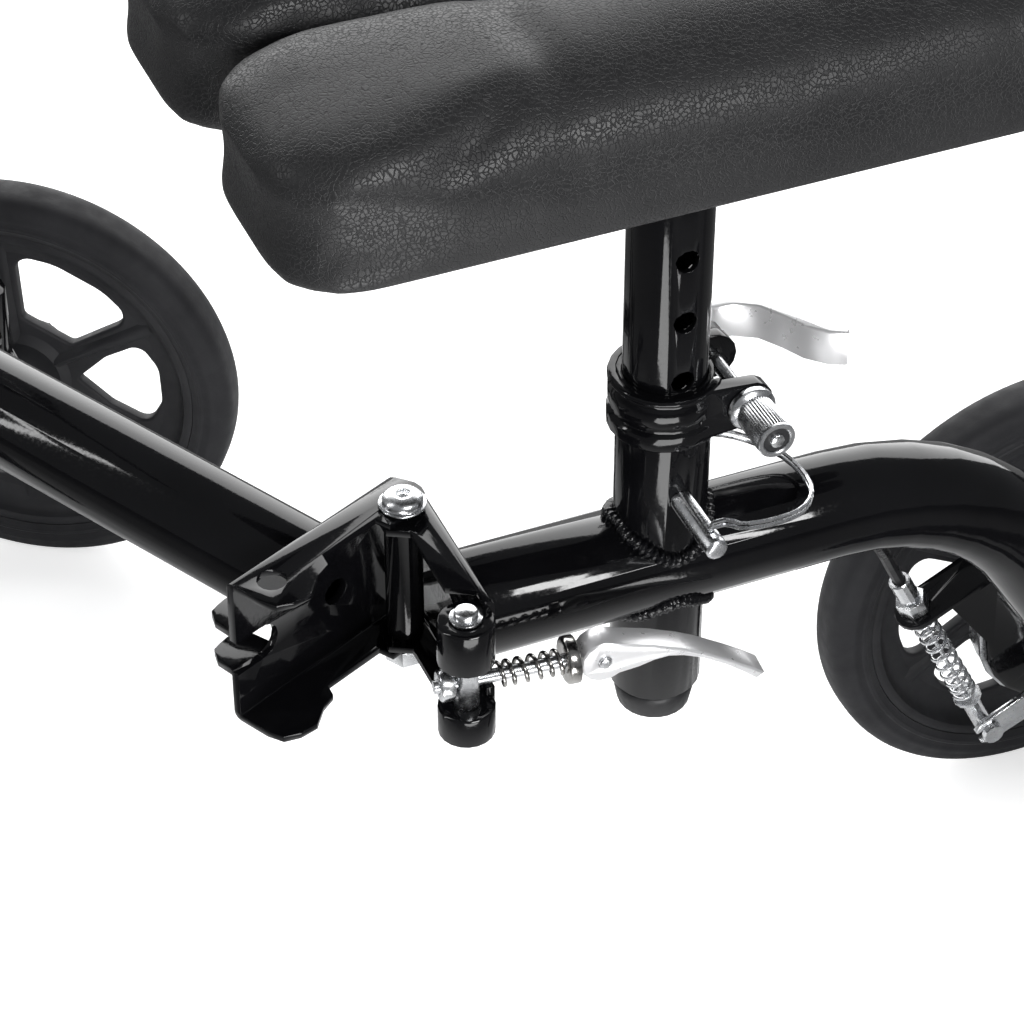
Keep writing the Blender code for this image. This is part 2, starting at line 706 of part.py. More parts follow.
def build_rear_bracket():
    near, far = LATCH_Y + 1 * MM, 9.0 * MM
    outline = [(WEB_REAR_X + 1 * MM, near), (WEB_REAR_X + 1 * MM, far)]
    outline += arc_points((0, 0), 9.0 * MM, 90, 180, 6)
    outline += [(-9.0 * MM, -7.5 * MM), (-1.8 * MM, -11.5 * MM), (-1.8 * MM, -42.0 * MM),
                (WEB_REAR_X - PLATE_T - 0.6 * MM, -47.0 * MM),
                (WEB_REAR_X - PLATE_T - 0.6 * MM, near)]
    top = FRONT_TOP - FLANGE_T - GAP
    bottom = FRONT_BOTTOM + PLATE_T + GAP
    obj = channel(WEB_REAR_X, -0.03, top, bottom, outline)
    barrel = rod(HINGE_BARREL_R, (0, 0, TUBE_Z + bottom + FLANGE_T / 2),
                 (0, 0, TUBE_Z + top - FLANGE_T / 2), 14)
    upper = rod(BOSS_R, (LATCH_X, LATCH_Y, TUBE_Z + BOSS_TOP - BOSS_TOP_H),
                (LATCH_X, LATCH_Y, TUBE_Z + BOSS_TOP), 20, 0.6 * MM)
    lower = rod(BOSS_R, (LATCH_X, LATCH_Y, TUBE_Z + BOSS_BOTTOM),
                (LATCH_X, LATCH_Y, TUBE_Z + BOSS_BOTTOM + BOSS_LOW_H), 20, 0.6 * MM)
    join(obj, barrel, upper, lower)
    slot = LATCH_SLOT_H / 2
    slot_end = LATCH_Y + 4.6 * MM
    cut(obj,
        box((0.02, 0.04, 2 * slot), (WEB_REAR_X, slot_end - 0.02, LATCH_Z)),
        rod(slot, (WEB_REAR_X - 0.01, slot_end, LATCH_Z), (WEB_REAR_X + 0.01, slot_end, LATCH_Z),
            16),
        rod(HINGE_PIN_R + GAP, (0, 0, TUBE_Z - 0.06), (0, 0, TUBE_Z + 0.06), 14),
        rod(CROSS_PIN_R + GAP, (LATCH_X, LATCH_Y, TUBE_Z - 0.06),
            (LATCH_X, LATCH_Y, TUBE_Z + 0.06), 14))
    return place(obj, "rear_hinge_bracket", BLACK_PAINT)


def build_hinge_pin():
    head_top = TUBE_Z + FRONT_TOP + GAP + WASHER_T + HINGE_HEAD_H
    nut_top = TUBE_Z + FRONT_BOTTOM - GAP
    r = HINGE_HEAD_R
    end = nut_top - HINGE_NUT_T - 1.5 * MM
    profile = [(0, end), (HINGE_PIN_R - 0.6 * MM, end), (HINGE_PIN_R, end + 0.6 * MM),
               (HINGE_PIN_R, head_top - HINGE_HEAD_H - WASHER_T),
               (WASHER_R, head_top - HINGE_HEAD_H - WASHER_T),
               (WASHER_R, head_top - HINGE_HEAD_H), (r, head_top - HINGE_HEAD_H),
               (r, head_top - 2.2 * MM), (r * 0.9, head_top - 1.1 * MM),
               (r * 0.72, head_top - 0.35 * MM), (r * 0.5, head_top), (0, head_top)]
    obj = lathe(profile, 16)
    cut(obj, hexagon(4.2 * MM, head_top - 2.0 * MM, head_top + 1 * MM))
    nut = hexagon(2 * HINGE_NUT_R * 0.87, nut_top - HINGE_NUT_T, nut_top)
    join(obj, nut)
    return place(obj, "hinge_pin", ZINC)


# Front half, straight ahead: forward is -X

def build_front_bracket(parent):
    """Channel with a slot for the latch rod; its slot lips carry the pressure seat."""
    ear = 4.2 * MM
    strip = 1.5 * MM
    near = 67.4 * MM
    outline = [(-WEB_FRONT_U - 1 * MM, -near), (-WEB_FRONT_U - 1 * MM, 7.0 * MM)]
    outline += arc_points((-4.0 * MM, 3.0 * MM), 8.4 * MM, 120, 10, 5)
    outline += [(ear, -10.4 * MM), (-strip, -11.4 * MM), (-strip, -36.6 * MM),
                (3.4 * MM, -38.8 * MM), (5.0 * MM, -45.0 * MM), (9.6 * MM, -52.5 * MM),
                (8.8 * MM, -59.5 * MM), (6.0 * MM, -64.8 * MM), (0, -66.6 * MM)]
    obj = channel(-WEB_FRONT_U, 0.03, FRONT_TOP, FRONT_BOTTOM, outline)
    rod_z = LATCH_Z + 1.0 * MM
    slot_end = -LATCH_SLOT_END - LATCH_SLOT_H / 2
    lips = []
    for sign in (-1, 1):
        inner = rod_z + sign * LATCH_SLOT_H / 2
        outer = inner + sign * PLATE_T
        plan = [(-WEB_FRONT_U + PLATE_T * 0.5, -near + 1.2 * MM),
                (-WEB_FRONT_U - 8 * MM, -near + 1.2 * MM)]
        pin = Matrix.Rotation(-BRACKET_SKEW, 2) @ Vector((LATCH_X, LATCH_Y))
        for angle in (196, 190, 184, 178, 172):
            turn = math.radians(angle)
            plan.append((pin.x + LIP_REACH * math.cos(turn), pin.y + LIP_REACH * math.sin(turn)))
        plan.append((-WEB_FRONT_U + PLATE_T * 0.5, -LATCH_SLOT_END + 1.0 * MM))
        lips.append(prism(plan, min(inner, outer), max(inner, outer)))
    join(obj, *lips)
    slot_box = box((0.09, 0.06, LATCH_SLOT_H),
                   (-WEB_FRONT_U - 0.03, slot_end - 0.03, rod_z))
    slot_round = rod(LATCH_SLOT_H / 2, (-WEB_FRONT_U - 0.05, slot_end, rod_z),
                     (-WEB_FRONT_U + 0.01, slot_end, rod_z), 14)
    cut(obj, slot_box, slot_round)
    cut(obj,
        rod(5.1 * MM, (-WEB_FRONT_U - 0.01, -21.0 * MM, TUBE_Z - 1.6 * MM),
            (-WEB_FRONT_U + 0.01, -21.0 * MM, TUBE_Z - 1.6 * MM), 14),
        rod(5.2 * MM, (-4.5 * MM, -56.6 * MM, TUBE_Z + FRONT_TOP - 0.01),
            (-4.5 * MM, -56.6 * MM, TUBE_Z + FRONT_TOP + 0.01), 14))
    move(obj, Matrix.Rotation(BRACKET_SKEW, 4, "Z"))
    cut(obj, rod(HINGE_PIN_R + GAP, (0, 0, TUBE_Z - 0.06), (0, 0, TUBE_Z + 0.06), 14))
    return place(obj, "front_hinge_bracket", BLACK_PAINT, parent)


def build_front_tube(parent):
    obj = sweep_mesh([(-KING_U, TUBE_Y, TUBE_Z), (-8 * MM, TUBE_Y, TUBE_Z)], TUBE_R, SIDES,
                     TUBE_R - TUBE_WALL)
    bracket_space = box((0.1, 0.3, 0.1), (0.05 - WEB_FRONT_U - GAP, 0, TUBE_Z))
    move(bracket_space, Matrix.Rotation(BRACKET_SKEW, 4, "Z"))
    cut(obj, bracket_space,
        rod(HEAD_R + GAP, (-KING_U, TUBE_Y, TUBE_Z - 0.05), (-KING_U, TUBE_Y, TUBE_Z + 0.05),
            SIDES))
    behind = box((0.1, 0.1, 0.1), (-KING_U - 0.05, TUBE_Y, TUBE_Z))
    cut(obj, behind)
    return place(obj, "front_main_tube", BLACK_PAINT, parent)


def build_head_tube(parent):
    """Head tube with the axle arms and kingpin sleeves welded to it."""
    obj = rod(HEAD_R, (0, 0, HEAD_BOTTOM), (0, 0, HEAD_TOP), FAR_SIDES)
    arm = rod(ARM_TUBE_R, (0, -KING_V + 1 * MM, ARM_TUBE_Z), (0, KING_V - 1 * MM, ARM_TUBE_Z), 14)
    join(obj, arm)
    for sign in (-1, 1):
        sleeve = rod(KING_SLEEVE_R, (0, sign * KING_V, HEAD_BOTTOM),
                     (0, sign * KING_V, HEAD_BOTTOM + KING_SLEEVE_H), 14)
        join(obj, sleeve)
    cut(obj, rod(HEAD_BORE_R, (0, 0, HEAD_BOTTOM - 0.01), (0, 0, HEAD_TOP + 0.01), FAR_SIDES))
    for sign in (-1, 1):
        cut(obj, rod(KINGPIN_R + GAP, (0, sign * KING_V, HEAD_BOTTOM - 0.01),
                     (0, sign * KING_V, HEAD_BOTTOM + KING_SLEEVE_H + 0.01), 12))
    shift(obj, -KING_U, TUBE_Y, 0)
    return place(obj, "head_tube", BLACK_PAINT, parent)


def build_knuckle(name, parent, sign):
    """Kingpin, arm plate, stub axle and their nuts; the kingpin is the local Z axis."""
    top = HEAD_BOTTOM - GAP
    arm_low = top - 0.3 * MM - ARM_T
    arm_high = top - 0.3 * MM
    obj = lathe([(0, WHEEL_R - 15 * MM), (KNUCKLE_R - 1 * MM, WHEEL_R - 15 * MM),
                 (KNUCKLE_R, WHEEL_R - 14 * MM), (KNUCKLE_R, top), (KINGPIN_R, top),
                 (KINGPIN_R, HEAD_BOTTOM + KING_SLEEVE_H + KING_NUT_T + 3 * MM),
                 (0, HEAD_BOTTOM + KING_SLEEVE_H + KING_NUT_T + 3 * MM)], 16)
    inner_face = WHEEL_OUT - RIM_HUB_L / 2 - GAP
    outer_face = WHEEL_OUT + RIM_HUB_L / 2 + GAP
    spindle = lathe([(0, 0), (SPINDLE_R + 3.5 * MM, 0), (SPINDLE_R + 3.5 * MM, inner_face),
                     (SPINDLE_R, inner_face), (SPINDLE_R, outer_face + SPINDLE_NUT_T + 3 * MM),
                     (SPINDLE_R - 1 * MM, outer_face + SPINDLE_NUT_T + 4 * MM),
                     (0, outer_face + SPINDLE_NUT_T + 4 * MM)], 12, "Y")
    nut = hexagon(2 * SPINDLE_NUT_R * 0.9, outer_face, outer_face + SPINDLE_NUT_T)
    move(nut, AXES["Y"])
    join(spindle, nut)
    if sign < 0:
        move(spindle, Matrix.Rotation(math.pi, 4, "Z"))
    shift(spindle, z=WHEEL_R)
    plan = arc_points((0, 0), KNUCKLE_R + 1.5 * MM, -90, 90, 5)
    plan += arc_points((ARM_REACH, sign * PITMAN_HALF), TIE_EYE_R, 90, 270, 5)
    arm = prism(plan, arm_low, arm_high)
    eye_y = sign * PITMAN_HALF
    pin = rod(TIE_PIN_R, (ARM_REACH, eye_y, arm_low - TIE_EYE_H - 3 * MM),
              (ARM_REACH, eye_y, arm_low + 1 * MM), 8)
    king_nut = hexagon(2 * KING_NUT_R * 0.9, HEAD_BOTTOM + KING_SLEEVE_H + GAP,
                       HEAD_BOTTOM + KING_SLEEVE_H + KING_NUT_T)
    join(obj, spindle, arm, pin, king_nut)
    return place(obj, name, BLACK_PAINT, parent)


def build_tie_rod(name, parent, sign):
    """Rod between the column's arm and a knuckle's arm; its inner eye is the origin."""
    length = KING_V
    top = HEAD_BOTTOM - GAP - 0.3 * MM - ARM_T - GAP
    low = top - TIE_EYE_H
    mid = (top + low) / 2
    obj = rod(TIE_EYE_R, (0, 0, low), (0, 0, top), 14)
    far = rod(TIE_EYE_R, (0, sign * length, low), (0, sign * length, top), 14)
    bar = rod(TIE_ROD_R, (0, sign * 5.5 * MM, mid), (0, sign * (length - 5.5 * MM), mid), 10)
    join(obj, far, bar)
    for y in (0, sign * length):
        cut(obj, rod(TIE_PIN_R + GAP, (0, y, low - 0.01), (0, y, top + 0.01), 8))
    return place(obj, name, ZINC, parent)


def polar(radius, angle):
    return (radius * math.cos(angle), radius * math.sin(angle))


def narrow_window():
    """Window between two close spokes: a point at the hub, full shoulders near the rim."""
    o, a, c = WINDOW_OUTER_R, NARROW_HALF_ANGLE, WINDOW_CORNER_R
    side = [polar(0.63 * o, 0.89 * a), polar(0.935 * o, a), polar(o, 0.38 * a)]
    mirrored = [(x, -y) for x, y in reversed(side)]
    return rounded([(NARROW_TIP_R, 0)] + side + mirrored, [3 * MM, 0, c, 0, 0, c, 0], 2)


def wide_window():
    o, a, c = WINDOW_OUTER_R, WIDE_HALF_ANGLE, WINDOW_CORNER_R
    side = [polar(WIDE_INNER_R, 0.92 * a), polar(o, a), polar(o, 0.38 * a)]
    mirrored = [(x, -y) for x, y in reversed(side)]
    return rounded(side + mirrored, [4 * MM, c, 0, 0, c, 4 * MM], 2)


def build_wheel(prefix, parent, at):
    """Tyre and rim with three pairs of windows, with their origin on the hub's middle."""
    half = TYRE_W / 2
    s = TYRE_SHOULDER_R
    r = WHEEL_R
    tyre = lathe([(TYRE_INNER_R, -half + 1.5 * MM), (r - s, -half),
                  (r - 1.5 * MM, -half + 1.5 * MM), (r, -half + s),
                  (r, half - s), (r - 1.5 * MM, half - 1.5 * MM), (r - s, half),
                  (TYRE_INNER_R, half - 1.5 * MM)], WHEEL_SIDES, "Y")
    place(tyre, prefix + "_tyre", TYRE_GREY, parent)
    tyre.location = at
    web = RIM_WEB_T / 2
    rim_out = TYRE_INNER_R - GAP
    rim_in = rim_out - RIM_FLANGE_T
    hub = RIM_HUB_L / 2
    circle = arc_points((0, 0), rim_in + 1.5 * MM, 0, 360, WHEEL_SIDES)[:-1]
    rim = prism(circle, -web, web)
    for k in range(WINDOW_PAIRS):
        for plan, after in ((narrow_window(), 0.0), (wide_window(), 0.5)):
            turn = WINDOW_PHASE + 2 * math.pi * (k + after) / WINDOW_PAIRS
            cut(rim, move(prism(plan, -0.03, 0.03), Matrix.Rotation(turn, 4, "Z")))
    ring = lathe([(rim_in - 3 * MM, -web), (rim_in, -half + 3 * MM), (rim_out, -half + 2 * MM),
                  (rim_out, half - 2 * MM), (rim_in, half - 3 * MM), (rim_in - 3 * MM, web)],
                 WHEEL_SIDES)
    boss = lathe([(0, -hub), (RIM_HUB_R, -hub), (RIM_HUB_R + 2 * MM, 0), (RIM_HUB_R, hub),
                  (0, hub)], FAR_SIDES)
    join(rim, ring, boss)
    cut(rim, rod(SPINDLE_R + GAP, (0, 0, -0.03), (0, 0, 0.03)))
    move(rim, AXES["Y"])
    place(rim, prefix + "_rim", WHEEL_GREY, parent)
    rim.location = at


# Seat tube, post and clamp

def clamp_slit(height, top):
    return box((0.04, CLAMP_SLIT, height), (SEAT_X + 0.02, TUBE_Y, top - height / 2 + 1 * MM))


def build_sleeve():
    obj = ring_tube(SLEEVE_R, POST_R + 0.25 * MM, (SEAT_X, TUBE_Y, SLEEVE_BOTTOM),
                    (SEAT_X, TUBE_Y, SLEEVE_TOP))
    cut(obj, clamp_slit(30 * MM, SLEEVE_TOP),
        rod(HOLE_R, (SEAT_X, TUBE_Y - 0.03, LOCK_PIN_Z), (SEAT_X, TUBE_Y + 0.03, LOCK_PIN_Z)))
    return place(obj, "seat_sleeve", BLACK_PAINT)


def split_collar(x, z_low, z_high, bore, outer, skewer_x, skewer_z, ear_out, parted):
    """Split clamp collar: a beaded band with parted ears, or a plain one with a slit."""
    b = BEAD_R
    inner = bore + GAP
    mid = (z_low + z_high) / 2
    profile = [(inner, z_low), (outer, z_low), (outer + b, z_low + 1.2 * MM),
               (outer + b, mid - 4.4 * MM), (outer - 0.4 * MM, mid - 3.4 * MM),
               (outer - 0.4 * MM, mid - 1.4 * MM), (outer + b * 0.7, mid - 0.4 * MM),
               (outer + b * 0.7, z_high - 5.0 * MM), (outer, z_high - 4.0 * MM),
               (outer, z_high - 2.6 * MM), (outer + b, z_high - 1.6 * MM),
               (outer + b * 0.6, z_high - 0.3 * MM), (inner, z_high)]
    if not parted:
        profile = [(inner, z_low), (outer, z_low), (outer, z_high), (inner, z_high)]
    obj = lathe(profile, SIDES if parted else FAR_SIDES)
    height = z_high - z_low
    reach = skewer_x - x
    root = 5.0 * MM if parted else bore - 1.0 * MM
    section = [(root, z_low + 0.6 * MM)]
    section += arc_points((reach, skewer_z), EAR_R, -72, 72, 6 if parted else 4)
    section += [(root, z_high - 0.6 * MM)]
    ears = prism(section, -ear_out, ear_out, 0.8 * MM if parted else 0.0)
    move(ears, Matrix.Rotation(math.radians(90), 4, "X"))
    join(obj, ears)
    cut(obj, rod(inner, (0, 0, z_low - 0.01), (0, 0, z_high + 0.01), SIDES),
        box((0.06, 2 * EAR_IN if parted else CLAMP_SLIT, height + 0.02), (0.03, 0, mid)),
        rod(SKEWER_R + GAP, (reach, -0.05, skewer_z), (reach, 0.05, skewer_z), 12))
    shift(obj, x, 0, 0)
    return obj


def clamp_arm(lever_h, hub_r, path):
    """Curved lever arm of even height swept along a plan path, thinning to its tip."""
    left, right = [], []
    for i, (x, y, t) in enumerate(path):
        before = path[max(i - 1, 0)]
        after = path[min(i + 1, len(path) - 1)]
        along = Vector((after[0] - before[0], after[1] - before[1])).normalized()
        side = Vector((-along.y, along.x)) * t / 2
        left.append((x + side.x, y + side.y))
        right.append((x - side.x, y - side.y))
    arm = prism(left + right[::-1], -lever_h / 2, lever_h / 2, 0.7 * MM)
    hub = rod(hub_r, (0, 0, -lever_h / 2), (0, 0, lever_h / 2), 16, 0.7 * MM)
    return join(arm, hub)


def clamp_set(prefix, parent, x, y, z, ear_out, reach_scale, with_seat):
    """Skewer with barrel, nut, cam seat and cam lever for a clamp at (x, y, z)."""
    pivot_y = ear_out + GAP + CAM_R
    if with_seat:
        pivot_y += CAM_SEAT_T - 1.2 * MM
    nut_y = -ear_out - GAP
    thread_r = SKEWER_R + (0.15 * MM if with_seat else -0.5 * MM)
    skewer = rod(SKEWER_R, (0, nut_y - CLAMP_NUT_L - 0.5 * MM, 0), (0, pivot_y, 0), 10)
    barrel = rod(BARREL_R, (0, pivot_y, -CLAMP_LEVER_H / 2 + 0.4 * MM),
                 (0, pivot_y, CLAMP_LEVER_H / 2 - 0.4 * MM), 12)
    join(skewer, barrel)
    nut = lathe([(thread_r, 0), (CLAMP_NUT_FLANGE_R, 0),
                 (CLAMP_NUT_FLANGE_R, 2.2 * MM), (CLAMP_NUT_R + 0.6 * MM, 4.0 * MM),
                 (CLAMP_NUT_R, 5.0 * MM), (CLAMP_NUT_R, CLAMP_NUT_L - 1.2 * MM),
                 (CLAMP_NUT_R - 1.2 * MM, CLAMP_NUT_L), (SKEWER_R + 1.6 * MM, CLAMP_NUT_L),
                 (SKEWER_R + 1.6 * MM, CLAMP_NUT_L - 3 * MM),
                 (thread_r, CLAMP_NUT_L - 3 * MM)], 16)
    move(nut, Matrix.Translation((0, nut_y, 0)) @ Matrix.Rotation(math.radians(90), 4, "X"))
    k = reach_scale
    path = [(0, 1.5 * MM, 9 * MM), (8 * MM, 1.6 * MM, 6.5 * MM),
            (16 * MM * k, -0.6 * MM, CLAMP_LEVER_T), (24 * MM * k, -5.5 * MM, CLAMP_LEVER_T),
            (29.5 * MM * k, -14 * MM, CLAMP_LEVER_T), (33.5 * MM * k, -22 * MM, CLAMP_LEVER_T),
            (39 * MM * k, -28 * MM, 3.4 * MM), (44.5 * MM * k, -31 * MM, 2.6 * MM)]
    lever = clamp_arm(CLAMP_LEVER_H, CAM_R, path)
    slot = SKEWER_R + 0.4 * MM
    swing = slot + CAM_R * math.sin(CLAMP_OPENS - math.pi / 2) + 0.8 * MM
    cut(lever, rod(BARREL_R + GAP, (0, 0, -0.02), (0, 0, 0.02), 12),
        box((2 * slot, 0.03, 2 * slot), (0, -0.015, 0)),
        box((0.03, 0.03 + swing, 2 * slot), (-0.015, (swing - 0.03) / 2, 0)))
    if with_seat:
        seat = lathe([(SKEWER_R + GAP, 0), (CAM_SEAT_R, 0), (CAM_SEAT_R, CAM_SEAT_T - 1 * MM),
                      (CAM_SEAT_R - 1 * MM, CAM_SEAT_T), (SKEWER_R + GAP, CAM_SEAT_T)], 16, "Y")
        shift(seat, y=ear_out + GAP)
        cut(seat, rod(CAM_R + GAP, (0, pivot_y, -0.02), (0, pivot_y, 0.02), 16))
        shift(seat, x, y, z)
        shift(nut, x, y, z)
        place(seat, prefix + "_cam_seat", BLACK_PLASTIC, parent)
        place(nut, prefix + "_nut", ALUMINIUM, parent)
    else:
        join(skewer, nut)
    shift(skewer, x, y, z)
    place(skewer, prefix + "_skewer", ZINC, parent)
    place(lever, prefix + "_lever", ALUMINIUM, parent)
    lever.location = (x, y + pivot_y, z)


def build_seat_clamp():
    collar = split_collar(SEAT_X, COLLAR_BOTTOM, COLLAR_TOP, SLEEVE_R, COLLAR_R, SKEWER_X,
                          SKEWER_Z, EAR_OUT, True)
    shift(collar, 0, TUBE_Y, 0)
    place(collar, "clamp_collar", BLACK_PAINT)
    clamp_set("clamp", None, SKEWER_X, TUBE_Y, SKEWER_Z, EAR_OUT, 1.0, True)


def build_post():
    obj = sweep_mesh([(SEAT_X, TUBE_Y, POST_BOTTOM), (SEAT_X, TUBE_Y, POST_TOP)], POST_R, 20,
                     POST_R - POST_WALL)
    for k in range(-HOLES_BELOW, HOLES_ABOVE + 1):
        z = LOCK_PIN_Z + k * HOLE_PITCH
        cut(obj, rod(HOLE_R, (SEAT_X, TUBE_Y - 0.03, z), (SEAT_X, TUBE_Y + 0.03, z), 10))
    place(obj, "seat_post", BLACK_PAINT)
    r = POST_R - 0.2 * MM
    neck = (POST_R - POST_WALL) * 0.94
    plug = lathe([(0, POST_BOTTOM - PLUG_H), (r - 4 * MM, POST_BOTTOM - PLUG_H),
                  (r - 1.2 * MM, POST_BOTTOM - PLUG_H + 1.4 * MM), (r, POST_BOTTOM - 3.4 * MM),
                  (r, POST_BOTTOM - GAP), (neck, POST_BOTTOM - GAP),
                  (neck, POST_BOTTOM + 8 * MM), (0, POST_BOTTOM + 8 * MM)], SIDES, "Z",
                 (SEAT_X, TUBE_Y, 0))
    place(plug, "post_end_plug", BLACK_PLASTIC)


def build_pad_plate():
    top = PAD_BOTTOM - GAP
    half_l, half_w = PAD_PLATE_L / 2, PAD_PLATE_W / 2
    corners = [(-half_l, -half_w), (half_l, -half_w), (half_l, half_w), (-half_l, half_w)]
    plan = [(PAD_X + x, TUBE_Y + y) for x, y in rounded(corners, PAD_PLATE_CORNER_R, 4)]
    obj = prism(plan, top - PAD_PLATE_T, top)
    socket_top = top - PAD_PLATE_T + 0.5 * MM
    socket = rod(PAD_SOCKET_R, (SEAT_X, TUBE_Y, POST_TOP - PAD_SOCKET_H),
                 (SEAT_X, TUBE_Y, socket_top), SIDES)
    join(obj, socket)
    bore = rod(POST_R + GAP, (SEAT_X, TUBE_Y, POST_TOP - PAD_SOCKET_H - 0.01),
               (SEAT_X, TUBE_Y, POST_TOP + GAP), SIDES)
    cut(obj, bore)
    for sx in (-1, 1):
        plan = [(sx * (PAD_SOCKET_R - 1.5 * MM), POST_TOP - PAD_SOCKET_H + 4 * MM),
                (sx * (PAD_SOCKET_R + PAD_GUSSET_L), top - PAD_PLATE_T + 0.5 * MM),
                (sx * (PAD_SOCKET_R - 1.5 * MM), top - PAD_PLATE_T + 0.5 * MM)]
        gusset = prism(plan, -1.5 * MM, 1.5 * MM)
        move(gusset, Matrix.Translation((SEAT_X, TUBE_Y, 0))
             @ Matrix.Rotation(math.radians(90), 4, "X"))
        join(obj, gusset)
    return place(obj, "pad_plate", BLACK_PAINT)


def build_pad(name, sign):
    """Cushion with a crowned top, drawn-in sides and a sewn channel; flat underneath."""
    columns, rows = 22, 10
    half_l, half_w = PAD_L / 2, PAD_W / 2
    corner = 26 * MM
    bm = bmesh.new()
    layers = ((0.0, 0.985), (0.1, 1.0), (0.3, 0.985), (0.55, 0.985), (0.74, 1.0), (0.86, 0.97))
    outline = []
    for sx, sy, first in ((1, 1, 0), (-1, 1, 90), (-1, -1, 180), (1, -1, 270)):
        outline += arc_points((sx * (half_l - corner), sy * (half_w - corner)), corner,
                              first, first + 90, 5)
    rings = []
    for height, scale in layers:
        rings.append([bm.verts.new((x * scale, y * (1 - (1 - scale) * 2.5), height * PAD_H))
                      for x, y in outline])
    for inset, height in ((0.88, 0.955), (0.66, 0.99), (0.4, 1.0)):
        ring = []
        for x, y in outline:
            crown = height * PAD_H
            groove = 2.2 * MM * math.exp(-((abs(x * inset) - PAD_L * 0.22) / (7 * MM)) ** 2)
            ring.append(bm.verts.new((x * inset, y * inset, crown - groove)))
        rings.append(ring)
    for low, high in zip(rings, rings[1:]):
        for k in range(len(outline)):
            n = (k + 1) % len(outline)
            bm.faces.new((low[k], low[n], high[n], high[k]))
    bm.faces.new(rings[0])
    bm.faces.new(rings[-1])
    obj = make("pad", bm)
    shift(obj, PAD_X, TUBE_Y + sign * PAD_SPACING / 2, PAD_BOTTOM)
    return place(obj, name, VINYL)


def build_lock_pin():
    z = LOCK_PIN_Z
    obj = rod(LOCK_PIN_R, (SEAT_X, LOCK_PIN_NEAR, z), (SEAT_X, LOCK_PIN_FAR, z), 14, 0.9 * MM)
    hole_y = LOCK_PIN_NEAR + 6 * MM
    cut(obj, rod(BAIL_WIRE_R + 0.5 * MM, (SEAT_X, hole_y, z - 0.01), (SEAT_X, hole_y, z + 0.01),
                 10))
    return place(obj, "lock_pin", ZINC, None, (SEAT_X, LOCK_PIN_NEAR, z))


def bail_route():
    """Wire that pivots upright in the pin's cross hole and hooks round the pin's far end."""
    hole_y = LOCK_PIN_NEAR + 6 * MM
    over = LOCK_PIN_R + BAIL_WIRE_R + 1 * MM
    lead = [(0, hole_y, 1.2 * MM), (0, hole_y, LOCK_PIN_R - 0.6 * MM)]
    bend = [(0.5 * MM, hole_y, over - 0.5 * MM), (2.2 * MM, hole_y, over),
            (6.5 * MM, hole_y + 0.4 * MM, 4.2 * MM)]
    flat = [(14 * MM, -57.5 * MM), (30 * MM, -54.5 * MM),
            (41 * MM, -49 * MM), (48.5 * MM, -40 * MM), (50.5 * MM, -30.5 * MM),
            (49 * MM, -20 * MM), (43.5 * MM, -11.5 * MM), (34 * MM, -5 * MM),
            (20 * MM, -2.4 * MM), (10 * MM, 0.3 * MM), (0, 0.9 * MM), (-5 * MM, 0.9 * MM)]
    level = 6 * MM
    route = bend + [(x, y, max(x - level, 0) * BAIL_TILT) for x, y in flat]
    points = [Vector(p) for p in lead] + spline(route, 31)
    return [p + Vector((SEAT_X, 0, LOCK_PIN_Z)) for p in points]


def build_bail():
    points = bail_route()
    bail_origin = Vector((SEAT_X, LOCK_PIN_NEAR + 6 * MM, LOCK_PIN_Z))
    obj = curve_tube("lock_pin_bail", [p - bail_origin for p in points], BAIL_WIRE_R, 1, ZINC)
    obj.location = bail_origin
    return obj


# Frame latch: local frame at the cross pin, the rod along +X

